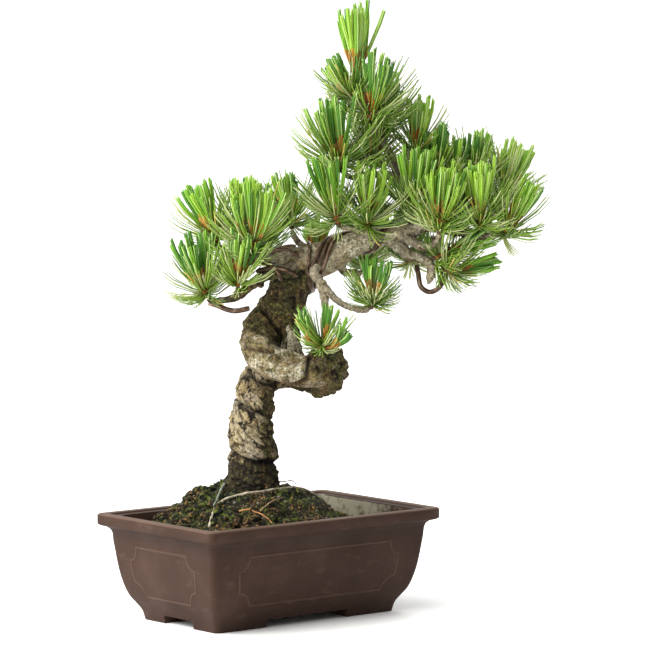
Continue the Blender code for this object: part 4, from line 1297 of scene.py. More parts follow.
def build_pot(settings):
    """The pot's body with its lip, feet and drains, and the raised lines of its panels."""
    bm = bmesh.new()
    steps = wall_rows() + list(LIP_STEPS + INNER_STEPS)
    face = pot_outline(bm, *steps[0])
    face.copy()  # this copy stays behind as the underside
    draw_levels(bm, face, steps)
    bmesh.ops.remove_doubles(bm, verts=bm.verts, dist=MERGED)
    bmesh.ops.recalc_face_normals(bm, faces=bm.faces)
    mesh = cut_away(mesh_of("pot_body", bm), foot_cutters())
    bm = bmesh.new()
    bm.from_mesh(mesh)
    bmesh.ops.dissolve_degenerate(bm, dist=MERGED, edges=bm.edges)
    edges = [
        edge for edge in bm.edges
        if len(edge.link_faces) == 2 and edge.calc_face_angle() > FOOT_EDGE_ANGLE
        and max(vert.co.z for vert in edge.verts) <= FOOT_HEIGHT + MM
    ]
    bmesh.ops.bevel(
        bm, geom=edges, affect="EDGES", offset=settings.foot_softness, segments=FOOT_EDGE_STEPS,
        profile=0.5, material=-1, clamp_overlap=True,
    )
    bmesh.ops.translate(bm, vec=STAND, verts=bm.verts)
    clay = unglazed_clay()
    body = bmesh_piece("pot_body", bm, clay, POT_SHARP_ANGLE)
    weather(body)
    bm = bmesh.new()
    for points in panel_paths():
        ring_tube(bm, points, settings.line_radius, LINE_SIDES)
    bmesh.ops.translate(bm, vec=STAND, verts=bm.verts)
    lines = bmesh_piece("pot_panel_lines", bm, clay)
    # The raised panel lines are painted paler: a painted highlight.
    add_attribute(lines, "pale_mark", [LINE_HIGHLIGHT] * len(lines.data.vertices))
    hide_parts("pot")


def soil_height(x, y):
    """The height of the soil's surface: a flat top under the trunk that falls to the edge."""
    foot = from_front(*TRUNK_BENDS[0][:3])
    away = max(0.0, math.hypot(x - foot.x, y - foot.y) - MOUND_TOP_RADIUS)
    rise = GROUND - SOIL_EDGE
    corner = max(0.0, x / POT_LENGTH) + max(0.0, y / POT_WIDTH)
    fade = math.exp(-((away / MOUND_FALL) ** 2))
    return SOIL_EDGE + rise * fade - SOIL_DIP * corner * (1 - fade)


def ground_relief(x, y):
    """Hummocks of moss and loose grit over the soil's even surface."""
    at = Vector((x, y, 0))
    hummocks = HUMMOCKS[0] * noise.fractal(at / HUMMOCKS[1], 1.0, 2.0, 4)
    warp = Vector(noise.noise_vector(at / CUSHION_WARP[1])) * CUSHION_WARP[0]
    cushions = CUSHIONS[0] * (0.42 - noise.voronoi((at + warp) / CUSHIONS[1])[0][0])
    crumbs = CRUMBS[0] * noise.noise(at / CRUMBS[1])
    return hummocks + cushions + crumbs


def on_ground(x, y, lift=0.0):
    """The point of the rough ground at a place in the pot's axes, lifted by a height."""
    return Vector((x, y, soil_height(x, y) + ground_relief(x, y) + lift)) + STAND


def over_soil(right, back, lift):
    """The point over the soil's even surface at a place seen from the front."""
    spot = from_front(right, back, 0)
    return Vector((spot.x, spot.y, soil_height(spot.x, spot.y) + lift)) + STAND


def build_mound():
    """The mossy mound that fills the pot, as one closed body."""
    bm = bmesh.new()
    half_x = POT_LENGTH / 2 - SOIL_INSET
    half_y = POT_WIDTH / 2 - SOIL_INSET
    bmesh.ops.create_grid(
        bm, x_segments=round(2 * half_x / SOIL_STRETCH),
        y_segments=round(2 * half_y / SOIL_STRETCH), size=1,
    )
    bmesh.ops.scale(bm, vec=(half_x, half_y, 1), verts=bm.verts)
    top = list(bm.verts)
    rim = [edge for edge in bm.edges if edge.is_boundary]
    skirt = bmesh.ops.extrude_edge_only(bm, edges=rim)["geom"]
    foot = [item for item in skirt if isinstance(item, bmesh.types.BMVert)]
    for vert in foot:
        vert.co.z = SOIL_FOOT
    base = [item for item in skirt if isinstance(item, bmesh.types.BMEdge)]
    bmesh.ops.holes_fill(bm, edges=base, sides=0)
    for vert in top:
        x, y = vert.co.x, vert.co.y
        vert.co.z = soil_height(x, y) + ground_relief(x, y)
    bmesh.ops.translate(bm, vec=STAND, verts=bm.verts)
    mound = bmesh_piece("moss_mound", bm, moss_and_grit())
    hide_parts("soil")


def free_spot(chance):
    """A chance place on the soil, in the pot's axes, clear of the trunk's foot."""
    foot = from_front(*TRUNK_BENDS[0][:3])
    while True:
        x = chance.uniform(-1, 1) * (POT_LENGTH / 2 - SOIL_INSET - MM)
        y = chance.uniform(-1, 1) * (POT_WIDTH / 2 - SOIL_INSET - MM)
        if math.hypot(x - foot.x, y - foot.y) > TRUNK_BENDS[1][3]:
            return x, y


def build_moss(settings):
    """Upright moss shoots in cushions, each cushion of one green."""
    chance = random.Random(SEED)
    greens = [plain(name, colour, 0.8, 0.25) for name, colour in MOSS_GREENS]
    batches = [([], []) for _ in greens]
    made = 0
    while made < settings.moss_shoots:
        x, y = free_spot(chance)
        growth = noise.noise(Vector((x, y, 0)) / MOSS_PATCH + Vector((3, 1, 0)))
        made += 1
        if growth + chance.uniform(-0.2, 0.2) < 0.0:
            continue
        green = int((noise.noise(Vector((x, y, 0)) / MOSS_SHADE_PATCH) * 0.9 + 0.5) * len(greens))
        foot = on_ground(x, y, -0.3 * MM)
        lean = Vector((chance.gauss(0, MOSS_LEAN), chance.gauss(0, MOSS_LEAN), 1)).normalized()
        tip = foot + lean * chance.uniform(*MOSS_LENGTH) * MM
        wide = chance.uniform(*MOSS_HALF_WIDTH) * MM
        turn = chance.uniform(0, math.tau)
        angles = [turn + k * math.tau / 3 for k in range(3)]
        corners = [foot + Vector((math.cos(a), math.sin(a), 0)) * wide for a in angles]
        batch = batches[min(len(greens) - 1, max(0, green))]
        join(*batch, corners + [tip], ((2, 1, 0), (0, 1, 3), (1, 2, 3), (2, 0, 3)))
    for green, (verts, faces) in zip(greens, batches):
        piece = mesh_piece("moss_" + green.name.split()[0], verts, faces, green)


def build_grit(settings):
    """Crumbs of fired soil and small stones, lying half sunk."""
    chance = random.Random(SEED + 1)
    for name, colour in GRIT_COLOURS:
        bm = bmesh.new()
        for _ in range(settings.grit_grains // len(GRIT_COLOURS)):
            x, y = free_spot(chance)
            size = (GRIT_LEAST + GRIT_VARIES * chance.random() ** 3) * MM
            spot = on_ground(x, y)
            turn = Matrix.Rotation(chance.uniform(0, math.tau), 4, Vector((1, 1, 1)).normalized())
            shape = Matrix.Diagonal((1, chance.uniform(0.6, 1), chance.uniform(0.45, 0.9), 1))
            bmesh.ops.create_icosphere(
                bm, subdivisions=1, radius=size, matrix=Matrix.Translation(spot) @ turn @ shape
            )
        for vert in bm.verts:
            vert.co += Vector(noise.noise_vector(vert.co / MM)) * GRIT_LUMP
        piece = bmesh_piece("grit_" + name.split()[0], bm, dry_fibre(name, *colour, 0.8), 30)


def build_clods():
    """Rough dark clods of moss and soil, on the mound's left."""
    chance = random.Random(SEED + 2)
    to_right = from_front(1, 0, 0)
    bm = bmesh.new()
    made = 0
    while made < CLODS:
        x, y = free_spot(chance)
        size = chance.uniform(*CLOD_RADIUS)
        near_wall = from_rim(x, y) < SOIL_INSET + 1.6 * size
        bare = smoothstep(*CLODS_THIN_OUT, Vector((x, y, 0)).dot(to_right))
        if near_wall or chance.random() < bare:
            continue
        made += 1
        place = Matrix.Translation(on_ground(x, y, 0.1 * size))
        shape = Matrix.Diagonal((1, 1, chance.uniform(0.6, 1.0), 1))
        bmesh.ops.create_icosphere(bm, subdivisions=3, radius=size, matrix=place @ shape)
    for vert in bm.verts:
        vert.co += Vector(noise.noise_vector(vert.co / CLOD_LUMP[1])) * CLOD_LUMP[0]
    clods = bmesh_piece("moss_clods", bm, moss_and_grit())


def build_roots():
    """The thin roots and fallen twigs that lie over the moss."""
    for name, (radius, clear, colours, route) in GROUND_ROOTS.items():
        rows = []
        for k, (right, back) in enumerate(route):
            lift = radius * (0.9 if 0 < k < len(route) - 1 else -1.2)
            rows.append((*over_soil(right, back, lift + clear), radius))
        path = smooth_path(rows, 1.2 * MM)
        wobble = [noise.noise_vector(Vector(row[:3]) / ROOT_WOBBLE[1]) for row in path]
        points = path[:, :3] + np.array(wobble) * ROOT_WOBBLE[0]
        share = np.linspace(0, 1, len(points))
        radii = radius * (1 - 0.45 * share) * (1 + 0.18 * np.sin(share * 40))
        verts, faces = swept(points, radii, ROOT_SIDES)
        piece = mesh_piece(name, verts, faces, dry_fibre(name.replace("_", " "), *colours))


def bend_numbers(path, bends):
    """For each row of a path, how many of its bends it has passed, in fractions."""
    where = []
    for bend in bends:
        gaps = np.linalg.norm(path[:, :3] - np.array(placed(*bend[:3])), axis=1)
        where.append(int(np.argmin(gaps)))
    lengths = lengths_along(path)
    return np.interp(lengths, lengths[where], range(len(bends)))


def between(value, start, end, soft):
    """1 well inside a span of bends, falling to 0 outside it."""
    begun = smoothstep(start - soft, start + soft, value)
    return begun * (1 - smoothstep(end - soft, end + soft, value))


def plate(at, size, crack, metric="DISTANCE"):
    """How far into its plate of bark a point is, how high it stands, and the plate's number."""
    near, cells = noise.voronoi(at / size, distance_metric=metric)
    number = noise.cell(cells[0] * 7.3)
    depth = smoothstep(0.0, crack, near[1] - near[0])
    shingle = (at / size - cells[0]).dot(Vector((0.35, 0.0, -1.0)))
    return depth, depth * (number - 0.5) + 0.8 * depth * shingle, number


def ledges(at, size, steps):
    """Flaking bark: its layer's height from -1 to 1, and how near a point is to a ledge's foot."""
    layer = noise.fractal(at / size, 0.9, 2.1, 3) * steps
    part = layer - math.floor(layer)
    foot = math.exp(-(((part - LEDGE_FOOT) / 0.14) ** 2))
    return (math.floor(layer) + smoothstep(LEDGE_FOOT, 1.0, part)) / steps, foot


def coil(azimuth, height):
    """How near a point of the lower trunk lies to the groove between its coils, in metres."""
    turns, heights = zip(*COIL_GROOVE)
    around = [azimuth + 360 * k for k in range(-1, 3)]
    near = [
        abs(height - np.interp(turn, turns, heights)) for turn in around
        if turns[0] <= turn <= turns[-1]
    ]
    return min(near, default=COIL_WIDTH)


def fold(right, up):
    """How deep the folds on the trunk's front cut at a place seen from there."""
    deepest = 0.0
    for route, reach, depth in FOLDS:
        for (x0, z0), (x1, z1) in zip(route, route[1:]):
            run, climb = x1 - x0, z1 - z0
            along = ((right - x0) * run + (up - z0) * climb) / (run ** 2 + climb ** 2)
            along = min(1.0, max(0.0, along))
            near = math.hypot(right - x0 - along * run, up - z0 - along * climb)
            deepest = max(deepest, depth * math.exp(-((near / reach) ** 2)))
    return deepest


def shade_under_boughs(right, up):
    """How deeply a place seen from the front is painted with the shade under the shoulder's boughs.
    """
    return (
        smoothstep(*SHADE_UNDER_BOUGHS_LOW, up) * (1 - smoothstep(*SHADE_UNDER_BOUGHS_HIGH, up))
        * smoothstep(*SHADE_UNDER_BOUGHS_LEFT, right) * (1 - smoothstep(*SHADE_UNDER_BOUGHS_RIGHT, right))
    )


def bark_zones(bend, up):
    """How far a row of the trunk is in each zone: plates, knobs, band, upper trunk, shoulder."""
    band = between(bend + BAND_CLIMB * max(0.0, BAND_FOOT - up), *BAND_SPAN)
    return (
        between(bend, *PLATES_SPAN),
        between(bend, *KNOBS_SPAN) * (1 - band),
        band,
        between(bend, *UPPER_SPAN),
        smoothstep(*SHOULDER_START, bend),
    )


def bark_pattern(at, azimuth, plates, upper, shoulder):
    """The bark's streak at a point, its plate as plate gives it, and its ledge as ledges does.

    Streaks and plates wind round the lower trunk.
    """
    swirl = Vector(noise.noise_vector(at / (5 * MM))) * (2.6 - 0.9 * plates) * MM
    swirl += Vector(noise.noise_vector(at / (1.7 * MM))) * (0.7 - 0.3 * plates) * MM
    turn = math.radians(azimuth) + at.z / TWIST
    twisted = Vector((math.cos(turn) * TWIST, math.sin(turn) * TWIST, 0.85 * at.z))
    fibre = noise.fractal(Vector((twisted.x, twisted.y, 0.1 * at.z)) / (1.7 * MM), 0.8, 2.1, 3)
    upright = Vector((at.x, at.y, at.z * (1 - 0.65 * upper)))
    grain = noise.fractal(upright / (1.6 * MM), 0.8, 2.1, 2)
    streak = plates * fibre + (1 - plates) * (0.5 + 0.4 * upper) * grain
    place = twisted if plates > 0.5 else at
    size = (7.5 + 0.8 * plates - 2.0 * shoulder) * MM
    plated = plate(place + swirl, size, 0.12 + 0.05 * plates, "MANHATTAN")
    return streak, plated, ledges(at + swirl * 0.4, 6.5 * MM, 4)


def trunk_relief(at, out, bend):
    """The bark's rise in metres at a point of the trunk, and the strength of each of its marks."""
    across, away = from_front(1, 0, 0), from_front(0, 1, 0)
    azimuth = math.degrees(math.atan2(out.dot(across), -out.dot(away)))
    facing = smoothstep(-0.1, 0.35, -out.dot(away))
    side = out.dot(across)
    right, up = at.dot(across), at.z
    zones = bark_zones(bend, up)
    plates, knobs, band, upper, shoulder = zones
    strong, flaky, lumpy, scaly, mossy = (
        sum(weight * zone for weight, zone in zip(weights, zones))
        for weights in (CRACKED, FLAKED, LUMPED, SCALED, MOSSED)
    )
    streak, (depth, lift, number), (layer, foot) = bark_pattern(
        at, azimuth, plates, upper, shoulder
    )

    # Plates, flaking layers and lumps.
    rise = strong * MM * (0.8 * (depth - 0.7) + 1.3 * lift)
    rise += (1.5 * flaky - 0.9 * plates) * MM * layer + 0.45 * MM * plates * streak
    rise += lumpy * 2.4 * MM * lumps(at, 7)
    rise += (0.15 + 0.4 * upper + 0.45 * knobs) * MM * noise.fractal(at / (2.6 * MM), 0.8, 2.1, 3)
    rise -= 2.6 * MM * knobs * smoothstep(0.0, 0.7, side)
    from_knuckle = math.hypot(right - KNUCKLE[0], up - KNUCKLE[1])
    rise += KNUCKLE_RISE * knobs * math.exp(-((from_knuckle / KNUCKLE_REACH) ** 2))

    # The groove between the coils, folds, cracks and hollows. Shade is painted into the groove,
    # folds and hollows as dark cracks.
    near = coil(azimuth, up)
    groove = plates * math.exp(-((near / COIL_REACH) ** 2))
    rise -= COIL_DEPTH * groove
    rise += COIL_SWELL * plates * (smoothstep(0.0, COIL_WIDTH, near) - 0.4)
    cut = facing * fold(right, up)
    rise -= cut
    crack = strong * (1 - depth) * 1.5 + 0.45 * (flaky - 0.7 * plates) * foot
    # Painted shade in the groove and the folds, in proportion to their depth.
    crack += 0.85 * groove + FOLD_SHADE * cut
    hollow = noise.noise(at / (6 * MM) + Vector((0, 8, 1)))
    # Painted shade in the hollows where the bark sinks.
    crack += (0.9 * knobs + 0.7 * upper) * smoothstep(0.10, 0.45, hollow)
    rise -= (1.8 * knobs + 0.9 * upper) * MM * smoothstep(0.05, 0.45, hollow)

    # The damp foot, and the painted shade under the shoulder's boughs, as dark cracks and moss.
    edge = DAMP_EDGE + DAMP_CLIMB * (right - DAMP_EDGE_AT) + 5 * MM * lumps(at, 5)
    low = 1 - smoothstep(edge - DAMP_SOFTNESS, edge + DAMP_SOFTNESS, up)
    rise += low * MM * (2.2 * lumps(at, 3.2) - 1.2)
    crack += 0.75 * low * smoothstep(-0.8, 0.1, lumps(at, 2.5))
    shade = facing * shade_under_boughs(right, up)
    crack += 0.5 * shade * smoothstep(-0.3, 0.4, lumps(at, 4))

    # Moss where it is damp, lichen, pale bark, and rust below. On the lower trunk the left side,
    # where
    # the light falls, is painted paler with lichen and pale bark, and the right side darker with
    # moss:
    # real moss and lichen, with painted light and shade. The painted shade under the boughs adds
    # moss too.
    spread = 0.5 + 0.5 * noise.noise(at / (11 * MM) + Vector((5, 0, 2)))
    moss = mossy + 1.6 * low + 0.25 * plates * spread
    moss += 0.62 * plates * smoothstep(-0.1, 0.7, side) + 0.7 * shade
    lit_left_side = plates * (1 - low) * (1 - smoothstep(-0.2, 0.8, side))
    lichen = 0.58 * (band + shoulder) + (0.36 * knobs + 0.68 * lit_left_side) * spread
    pale = 0.35 * ((band + lit_left_side) * number + smoothstep(*FORK_START, bend) * spread)
    # The painted shade under the boughs takes away lichen and pale bark.
    lichen *= 1 - shade
    pale *= 1 - shade
    rust_and_fold_shade = (0.6 * band + 0.3 * knobs) * smoothstep(0.35, 0.95, -out.z)
    # Painted shade in the folds, laid on as rust.
    rust_and_fold_shade += FOLD_SHADE * cut * (band + knobs)
    marks = (min(1.0, crack), moss, lichen, min(1.0, pale), min(1.0, scaly), 0.5 + 0.5 * streak)
    return rise, *marks, min(1.0, rust_and_fold_shade)


def mark_bark(piece, marks):
    """Gives a piece the marks of its bark, from one row for each point."""
    for name, values in zip(BARK_MARKS, zip(*marks)):
        add_attribute(piece, name, values)


def torn_snag(at, along):
    """The relief of the snag's dead wood, how much of its tip is torn off, and its marks."""
    ridge = noise.noise(Vector((at.x, at.y, at.z * 0.2)) / (2.0 * MM))
    torn = max(0.0, noise.noise(at / (2.6 * MM) + Vector((0, 0, 9)))) * 7 * MM * along ** 3
    rise = 1.6 * MM * ridge + 2.0 * MM * lumps(at, 6) * (1 - along)
    bleached = 0.75 * smoothstep(0.1, 0.5, along)
    marks = (
        max(0.0, -ridge) * 1.3, 0.5 * (1 - along), 0.4, bleached, 0.1, 0.5 + 0.4 * ridge, 0.0
    )
    return rise, torn, marks


def crook_stub(low, high, wide, narrow, dead):
    """The points, faces and marks of the dead snag or the living strand in the trunk's crook."""
    base, top = placed(*low), placed(*high)
    ahead = (top - base).normalized()
    line = np.array([base.lerp(top, t) for t in np.linspace(0, 1, SNAG_ROWS)])
    line += np.array([noise.noise_vector(Vector(point) / (9 * MM)) for point in line]) * 1.5 * MM
    verts, faces = swept(line, np.linspace(wide, narrow, SNAG_ROWS), SNAG_SIDES)
    marks = []
    for k, vert in enumerate(verts):
        row = k // SNAG_SIDES
        out = (Vector(vert) - Vector(line[row])).normalized()
        at = Vector(vert) - STAND
        torn = 0.0
        if dead:
            rise, torn, colours = torn_snag(at, row / (SNAG_ROWS - 1))
        else:
            rise, *colours = trunk_relief(at, out, STRAND_BEND)
        verts[k] = Vector(vert) + out * rise - ahead * torn
        marks.append(colours)
    return verts, faces, marks


def build_trunk():
    """The corkscrew trunk with plated bark, its flared foot, and what stands in its crook."""
    path = trunk_path(TRUNK_STRETCH)
    bends = bend_numbers(path, TRUNK_BENDS)
    verts, faces = swept(path[:, :3], path[:, 3], TRUNK_SIDES)
    verts = list(verts)
    foot = placed(*TRUNK_BENDS[0][:3])
    marks = []
    for k, vert in enumerate(verts):
        row = k // TRUNK_SIDES
        centre = Vector(path[row, :3])
        out = Vector(vert) - centre
        at = Vector(vert) - STAND
        dent = noise.noise(at / BARK_DENT_SIZE)
        rise, *colours = trunk_relief(at, out.normalized(), bends[row])
        marks.append(colours)
        end = smoothstep(0, 10, min(row, len(path) - 1 - row))
        point = centre + out * (1 - BARK_DENT * dent) + out.normalized() * rise * end
        away = Vector((point.x - foot.x, point.y - foot.y, 0))
        fade = max(0.0, 1 - (point.z - TRUNK_BENDS[0][2]) / ROOT_HEIGHT)
        lobe = 0.5 + 0.5 * math.cos(ROOT_LOBES * math.atan2(away.y, away.x) + ROOT_TURN)
        point += away.normalized() * ROOT_SPREAD * lobe * fade ** 2
        verts[k] = point
    for stub, dead in ((SNAG, True), (STRAND, False)):
        stub_verts, stub_faces, stub_marks = crook_stub(*stub, dead)
        join(verts, faces, stub_verts, stub_faces)
        marks += stub_marks
    trunk = mesh_piece("trunk_bark", verts, faces, plated_bark())
    mark_bark(trunk, marks)
    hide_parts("trunk")


def foot_swell(length, radius):
    """How much thicker a bough is near its foot, at a length along it."""
    return 1 + 0.45 * math.exp(-length / (2.2 * radius + 3 * MM))


def bough_relief(at, out, length, radius):
    """The bark's rise in metres at a point of a bough, and the strength of each of its marks."""
    ring = abs(math.sin(length / BOUGH_RING + 2 * lumps(at, 5)))
    depth, lift, _ = plate(at, BOUGH_PLATE, 0.20)
    rise = 0.22 * MM * (ring - 0.5) + 0.40 * MM * (depth - 0.7 + lift)
    rise += 0.14 * radius * lumps(at, 4)
    rise += 0.28 * MM * noise.fractal(at / (1.8 * MM), 0.9, 2.0, 3)
    patch = 0.5 + 0.5 * lumps(at, 9)
    # Painted shade under the shoulder's boughs, laid on as dark cracks and moss, with less lichen
    # and pale bark.
    shade = shade_under_boughs(at.dot(from_front(1, 0, 0)), at.z)
    crack = 0.30 * (1 - depth) + 0.30 * (1 - smoothstep(0.1, 0.45, ring))
    crack += 0.5 * shade * smoothstep(-0.3, 0.4, lumps(at, 4))
    # Moss on the sides and undersides, partly real and partly painted shade, and more moss as
    # painted shade under the boughs.
    moss = 1.2 * patch * max(0.0, 0.2 - out.z) + 0.8 * shade
    lichen = 0.85 * patch * (1 - shade)
    pale = 0.10 * smoothstep(0.6, 0.8, patch) * (1 - shade)
    return rise, min(1.0, crack), moss, lichen, pale, 0.15, 0.5, 0.0


def build_boughs():
    """Every limb that leaves the trunk, with a swollen foot, ring scars and rough grey bark."""
    paths = bough_paths(BOUGH_STRETCH)
    all_verts, all_faces, marks = [], [], []
    for name in BOUGHS:
        path = paths[name]
        lengths = lengths_along(path)
        verts, faces = swept(path[:, :3], path[:, 3], BOUGH_SIDES)
        for k, vert in enumerate(verts):
            row = k // BOUGH_SIDES
            centre, radius = Vector(path[row, :3]), path[row, 3]
            out = (Vector(vert) - centre).normalized()
            rise, *colours = bough_relief(Vector(vert) - STAND, out, lengths[row], radius)
            marks.append(colours)
            blunt = 0.35 + 0.65 * smoothstep(0, 1.5 * radius, lengths[-1] - lengths[row])
            verts[k] = centre + out * (radius * foot_swell(lengths[row], radius) * blunt + rise)
        join(all_verts, all_faces, verts, faces)
    bark = plated_bark("bough bark", "b3a98c", "8b8066", "4f4434")
    boughs = mesh_piece("bough_bark", all_verts, all_faces, bark)
    mark_bark(boughs, marks)
    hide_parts(*BOUGHS)


def hugging(path, limbs):
    """A wire's path with each point moved to where it just touches the nearest limb."""
    start, run = limbs[:, :3], limbs[:, 3:6] - limbs[:, :3]
    rows = []
    for x, y, z, radius in path:
        at = np.array((x, y, z))
        share = np.clip(((at - start) * run).sum(axis=1) / ((run * run).sum(axis=1) + 1e-12), 0, 1)
        foot = start + run * share[:, None]
        gaps = np.linalg.norm(at - foot, axis=1) - limbs[:, 6]
        near = int(np.argmin(gaps))
        way = (at - foot[near]) / np.linalg.norm(at - foot[near])
        rows.append((*(foot[near] + way * (limbs[near, 6] + radius)), radius))
    return np.array(rows)


def build_wires():
    """The training wires, wound round the limbs, one of them cut off square."""
    paths = bough_paths(WIRE_SOURCE_STEP)
    wires = {
        name: wind(paths[limb], *winding, WIRE_STRETCH)
        for name, (limb, *winding) in WIND_WIRES.items()
    }
    extra = [wind(paths[limb], *winding, WIRE_STRETCH) for limb, *winding in EXTRA_WINDS]
    for name, (radius, route) in WIRE_ROUTES.items():
        wires[name] = route_path(route, radius, WIRE_STRETCH)
    limbs = []
    for path in paths.values():
        swollen = path.copy()
        if path is not paths["trunk"]:
            swollen[:, 3] *= [foot_swell(s, r) for s, r in zip(lengths_along(path), path[:, 3])]
        limbs.append(segments_of(swollen))
    limbs = np.vstack(limbs)
    strands = [
        hugging(route_path(route, radius, 3 * MM), limbs)
        for radius, route in FRONT_STRANDS.values()
    ]
    all_verts, all_faces = [], []
    for path in list(wires.values()) + extra + strands:
        path = smooth_path(path, WIRE_STRETCH)
        radii = path[:, 3].copy()
        radii[[0, -1]] *= WIRE_END
        join(all_verts, all_faces, *swept(path[:, :3], radii, WIRE_SIDES))
    wound = mesh_piece("training_wires", all_verts, all_faces, anodised_wire())
    wound.data.set_sharp_from_angle(angle=math.radians(50))
    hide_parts(*wires)
    path = wires["wire_cut_end"]
    end = Vector(path[-1, :3])
    away = (end - Vector(path[-3, :3])).normalized()
    turned = away.to_track_quat("Z", "Y").to_matrix().to_4x4()
    low_radius, high_radius = (path[-1, 3] * share for share in CUT_FACE)
    bm = bmesh.new()
    bmesh.ops.create_cone(
        bm, cap_ends=True, segments=24, radius1=low_radius, radius2=high_radius,
        depth=0.3 * MM, matrix=Matrix.Translation(end + away * 0.05 * MM) @ turned,
    )
    face = bmesh_piece("wire_cut_face", bm, bare_aluminium(), 40)


class Growth:
    """What grows on the limbs: wood as lines with radii, bud scales, and needles by colour."""

    def __init__(self):
        self.stems = []
        self.candles = []
        self.scales = []
        self.sheaths = [[] for _ in SHEATH_BROWNS]
        self.new = [[] for _ in NEW_GREENS]
        self.old = [[] for _ in OLD_GREENS]


def bundle(start, way, bend, length, width, opening, gather, chance, count=5):
    """The needles of one bundle: start, direction, bend, length, width and outward side of each.

    They stand in a ring whose radius is the share gather of their width.
    """
    side = way.orthogonal().normalized()
    over = way.cross(side)
    turn = chance.uniform(0, math.tau)
    needles = []
    for k in range(count):
        angle = turn + k * math.tau / count
        out = side * math.cos(angle) + over * math.sin(angle)
        needle_way = (way + out * opening * chance.uniform(0.5, 1.5)).normalized()
        reach = length * chance.uniform(0.95, 1.02)
        needles.append((start + out * gather * width, needle_way, bend, reach, width, out))
    return needles


def candle_ways(name, count):
    """The directions of a tuft's candles, spread by the golden angle round the way it aims."""
    aim = from_front(*TUFTS[name][4]).normalized()
    fan = math.radians(TUFTS[name][6]) * CANDLE_FAN * WIDER.get(name, 1)
    return [
        tilted(aim, fan * math.sqrt((k + 0.35) / count), k * GOLDEN_ANGLE + len(name))
        for k in range(count)
    ]


def free_way(start, way, length, limbs):
    """Whether a needle's straight course stays clear of every limb."""
    return not (distances(start + way * 6 * MM, start + way * length, limbs) < 0).any()


def grow_tuft(name, paths, limbs, growth, chance, settings):
    """One tuft: its stem, candles, new bundles in brown sheaths, and old bundles splayed below."""
    limb, share, lean, stem, _, reach, _ = TUFTS[name]
    seat, limb_radius = at_share(paths[limb], share)
    out = from_front(*lean).normalized()
    aim = from_front(*TUFTS[name][4]).normalized()
    heart = seat + out * (stem + (limb_radius if share < 1 else 0))
    growth.stems.append(([seat, seat.lerp(heart, 0.5), heart], STEM_RADIUS, STEM_RADIUS * 1.1))
    count = settings.candles + (reach >= LARGE_REACH)
    shade = chance.choice(TUFT_SHADES)
    for way in candle_ways(name, count):
        size = reach * chance.uniform(0.92, 1.0)
        curl = (aim - way * aim.dot(way)) * 0.25
        brush = size * BRUSH_LENGTH
        line = [heart + (way * t + curl * t * t) * brush for t in (-0.1, 0.3, 0.6, 0.9)]
        growth.candles.append((line, *CANDLE_RADII))
        tip_way = (line[-1] - line[-2]).normalized()
        for k in range(SCALES_ON_CANDLE):
            t = -0.1 + 0.5 * k / SCALES_ON_CANDLE
            spot = heart + (way * t + curl * t * t) * brush
            growth.scales.append((spot, tilted(tip_way, 0.45, k * GOLDEN_ANGLE)))
        for k in range(settings.new_bundles):
            green = shade if chance.random() < 0.55 else chance.choice(TUFT_SHADES)
            t = 0.92 - 0.55 * (k + 0.5 * chance.random()) / settings.new_bundles
            spread = NEW_SPREAD * math.sqrt((k + 0.3) / settings.new_bundles)
            spread *= chance.uniform(*SPREAD_VARIES)
            turn = k * GOLDEN_ANGLE + chance.uniform(-TURN_VARIES, TURN_VARIES)
            bundle_way = (tilted(tip_way, spread, turn) + aim * AIM_PULL).normalized()
            start = heart + (way * t + curl * t * t) * brush
            length = size * chance.uniform(*NEW_REACH) - t * brush
            if not free_way(start, bundle_way, length, limbs):
                continue
            bend = UP * chance.uniform(0.0, 0.10) + (aim - bundle_way) * chance.uniform(0.15, 0.55)
            needles = bundle(
                start, bundle_way, bend, length, NEW_WIDTH, NEW_OPENING, NEW_GATHER, chance
            )
            growth.new[green] += needles[:-1]
            growth.new[-1].append(needles[-1])
            sheath = chance.uniform(*SHEATH_LENGTH) * (0.6 + 0.6 * (1 - t))
            brown = chance.randrange(len(SHEATH_BROWNS))
            growth.sheaths[brown] += bundle(
                start - bundle_way * MM, bundle_way, bend * sheath / length, sheath, SHEATH_WIDTH,
                SHEATH_OPENING, SHEATH_GATHER, chance, 4,
            )
    turn = chance.uniform(0, math.tau)
    old_bundles = round(settings.old_bundles * FEWER.get(name, 1))
    for k in range(old_bundles):
        t = (k + 0.5) / old_bundles
        spread = (OLD_INNER + (OLD_OUTER - OLD_INNER) * t) * chance.uniform(0.88, 1.12)
        way = tilted(aim, spread, turn + k * GOLDEN_ANGLE)
        start = heart + aim * reach * 0.12 * (1 - t) - out * stem * 0.6 * t * chance.random()
        length = reach * chance.uniform(*OLD_LENGTH)
        if not free_way(start, way, length, limbs):
            continue
        if chance.random() < LIMP.get(name, DROOPING):
            way = (way - UP * chance.uniform(*DROOP)).normalized()
        bend = (UP * 0.6 + aim * 0.4) * chance.uniform(*OLD_LIFT)
        needles = bundle(start, way, bend, length, OLD_WIDTH, OLD_OPENING, OLD_GATHER, chance)
        growth.old[chance.choice(OLD_SHADES)] += needles[:-1]
        dead = chance.random() < DEAD_SHARE
        growth.old[-1 if dead else 0].append(needles[-1])


def grown(settings, cache={}):
    """Everything that grows on the limbs, worked out once."""
    if not cache:
        chance = random.Random(SEED)
        paths = bough_paths(GROWTH_STEP)
        limbs = np.vstack([segments_of(path) for path in paths.values()])
        growth = Growth()
        for name in TUFTS:
            grow_tuft(name, paths, limbs, growth, chance, settings)
        cache["growth"] = growth
    return cache["growth"]


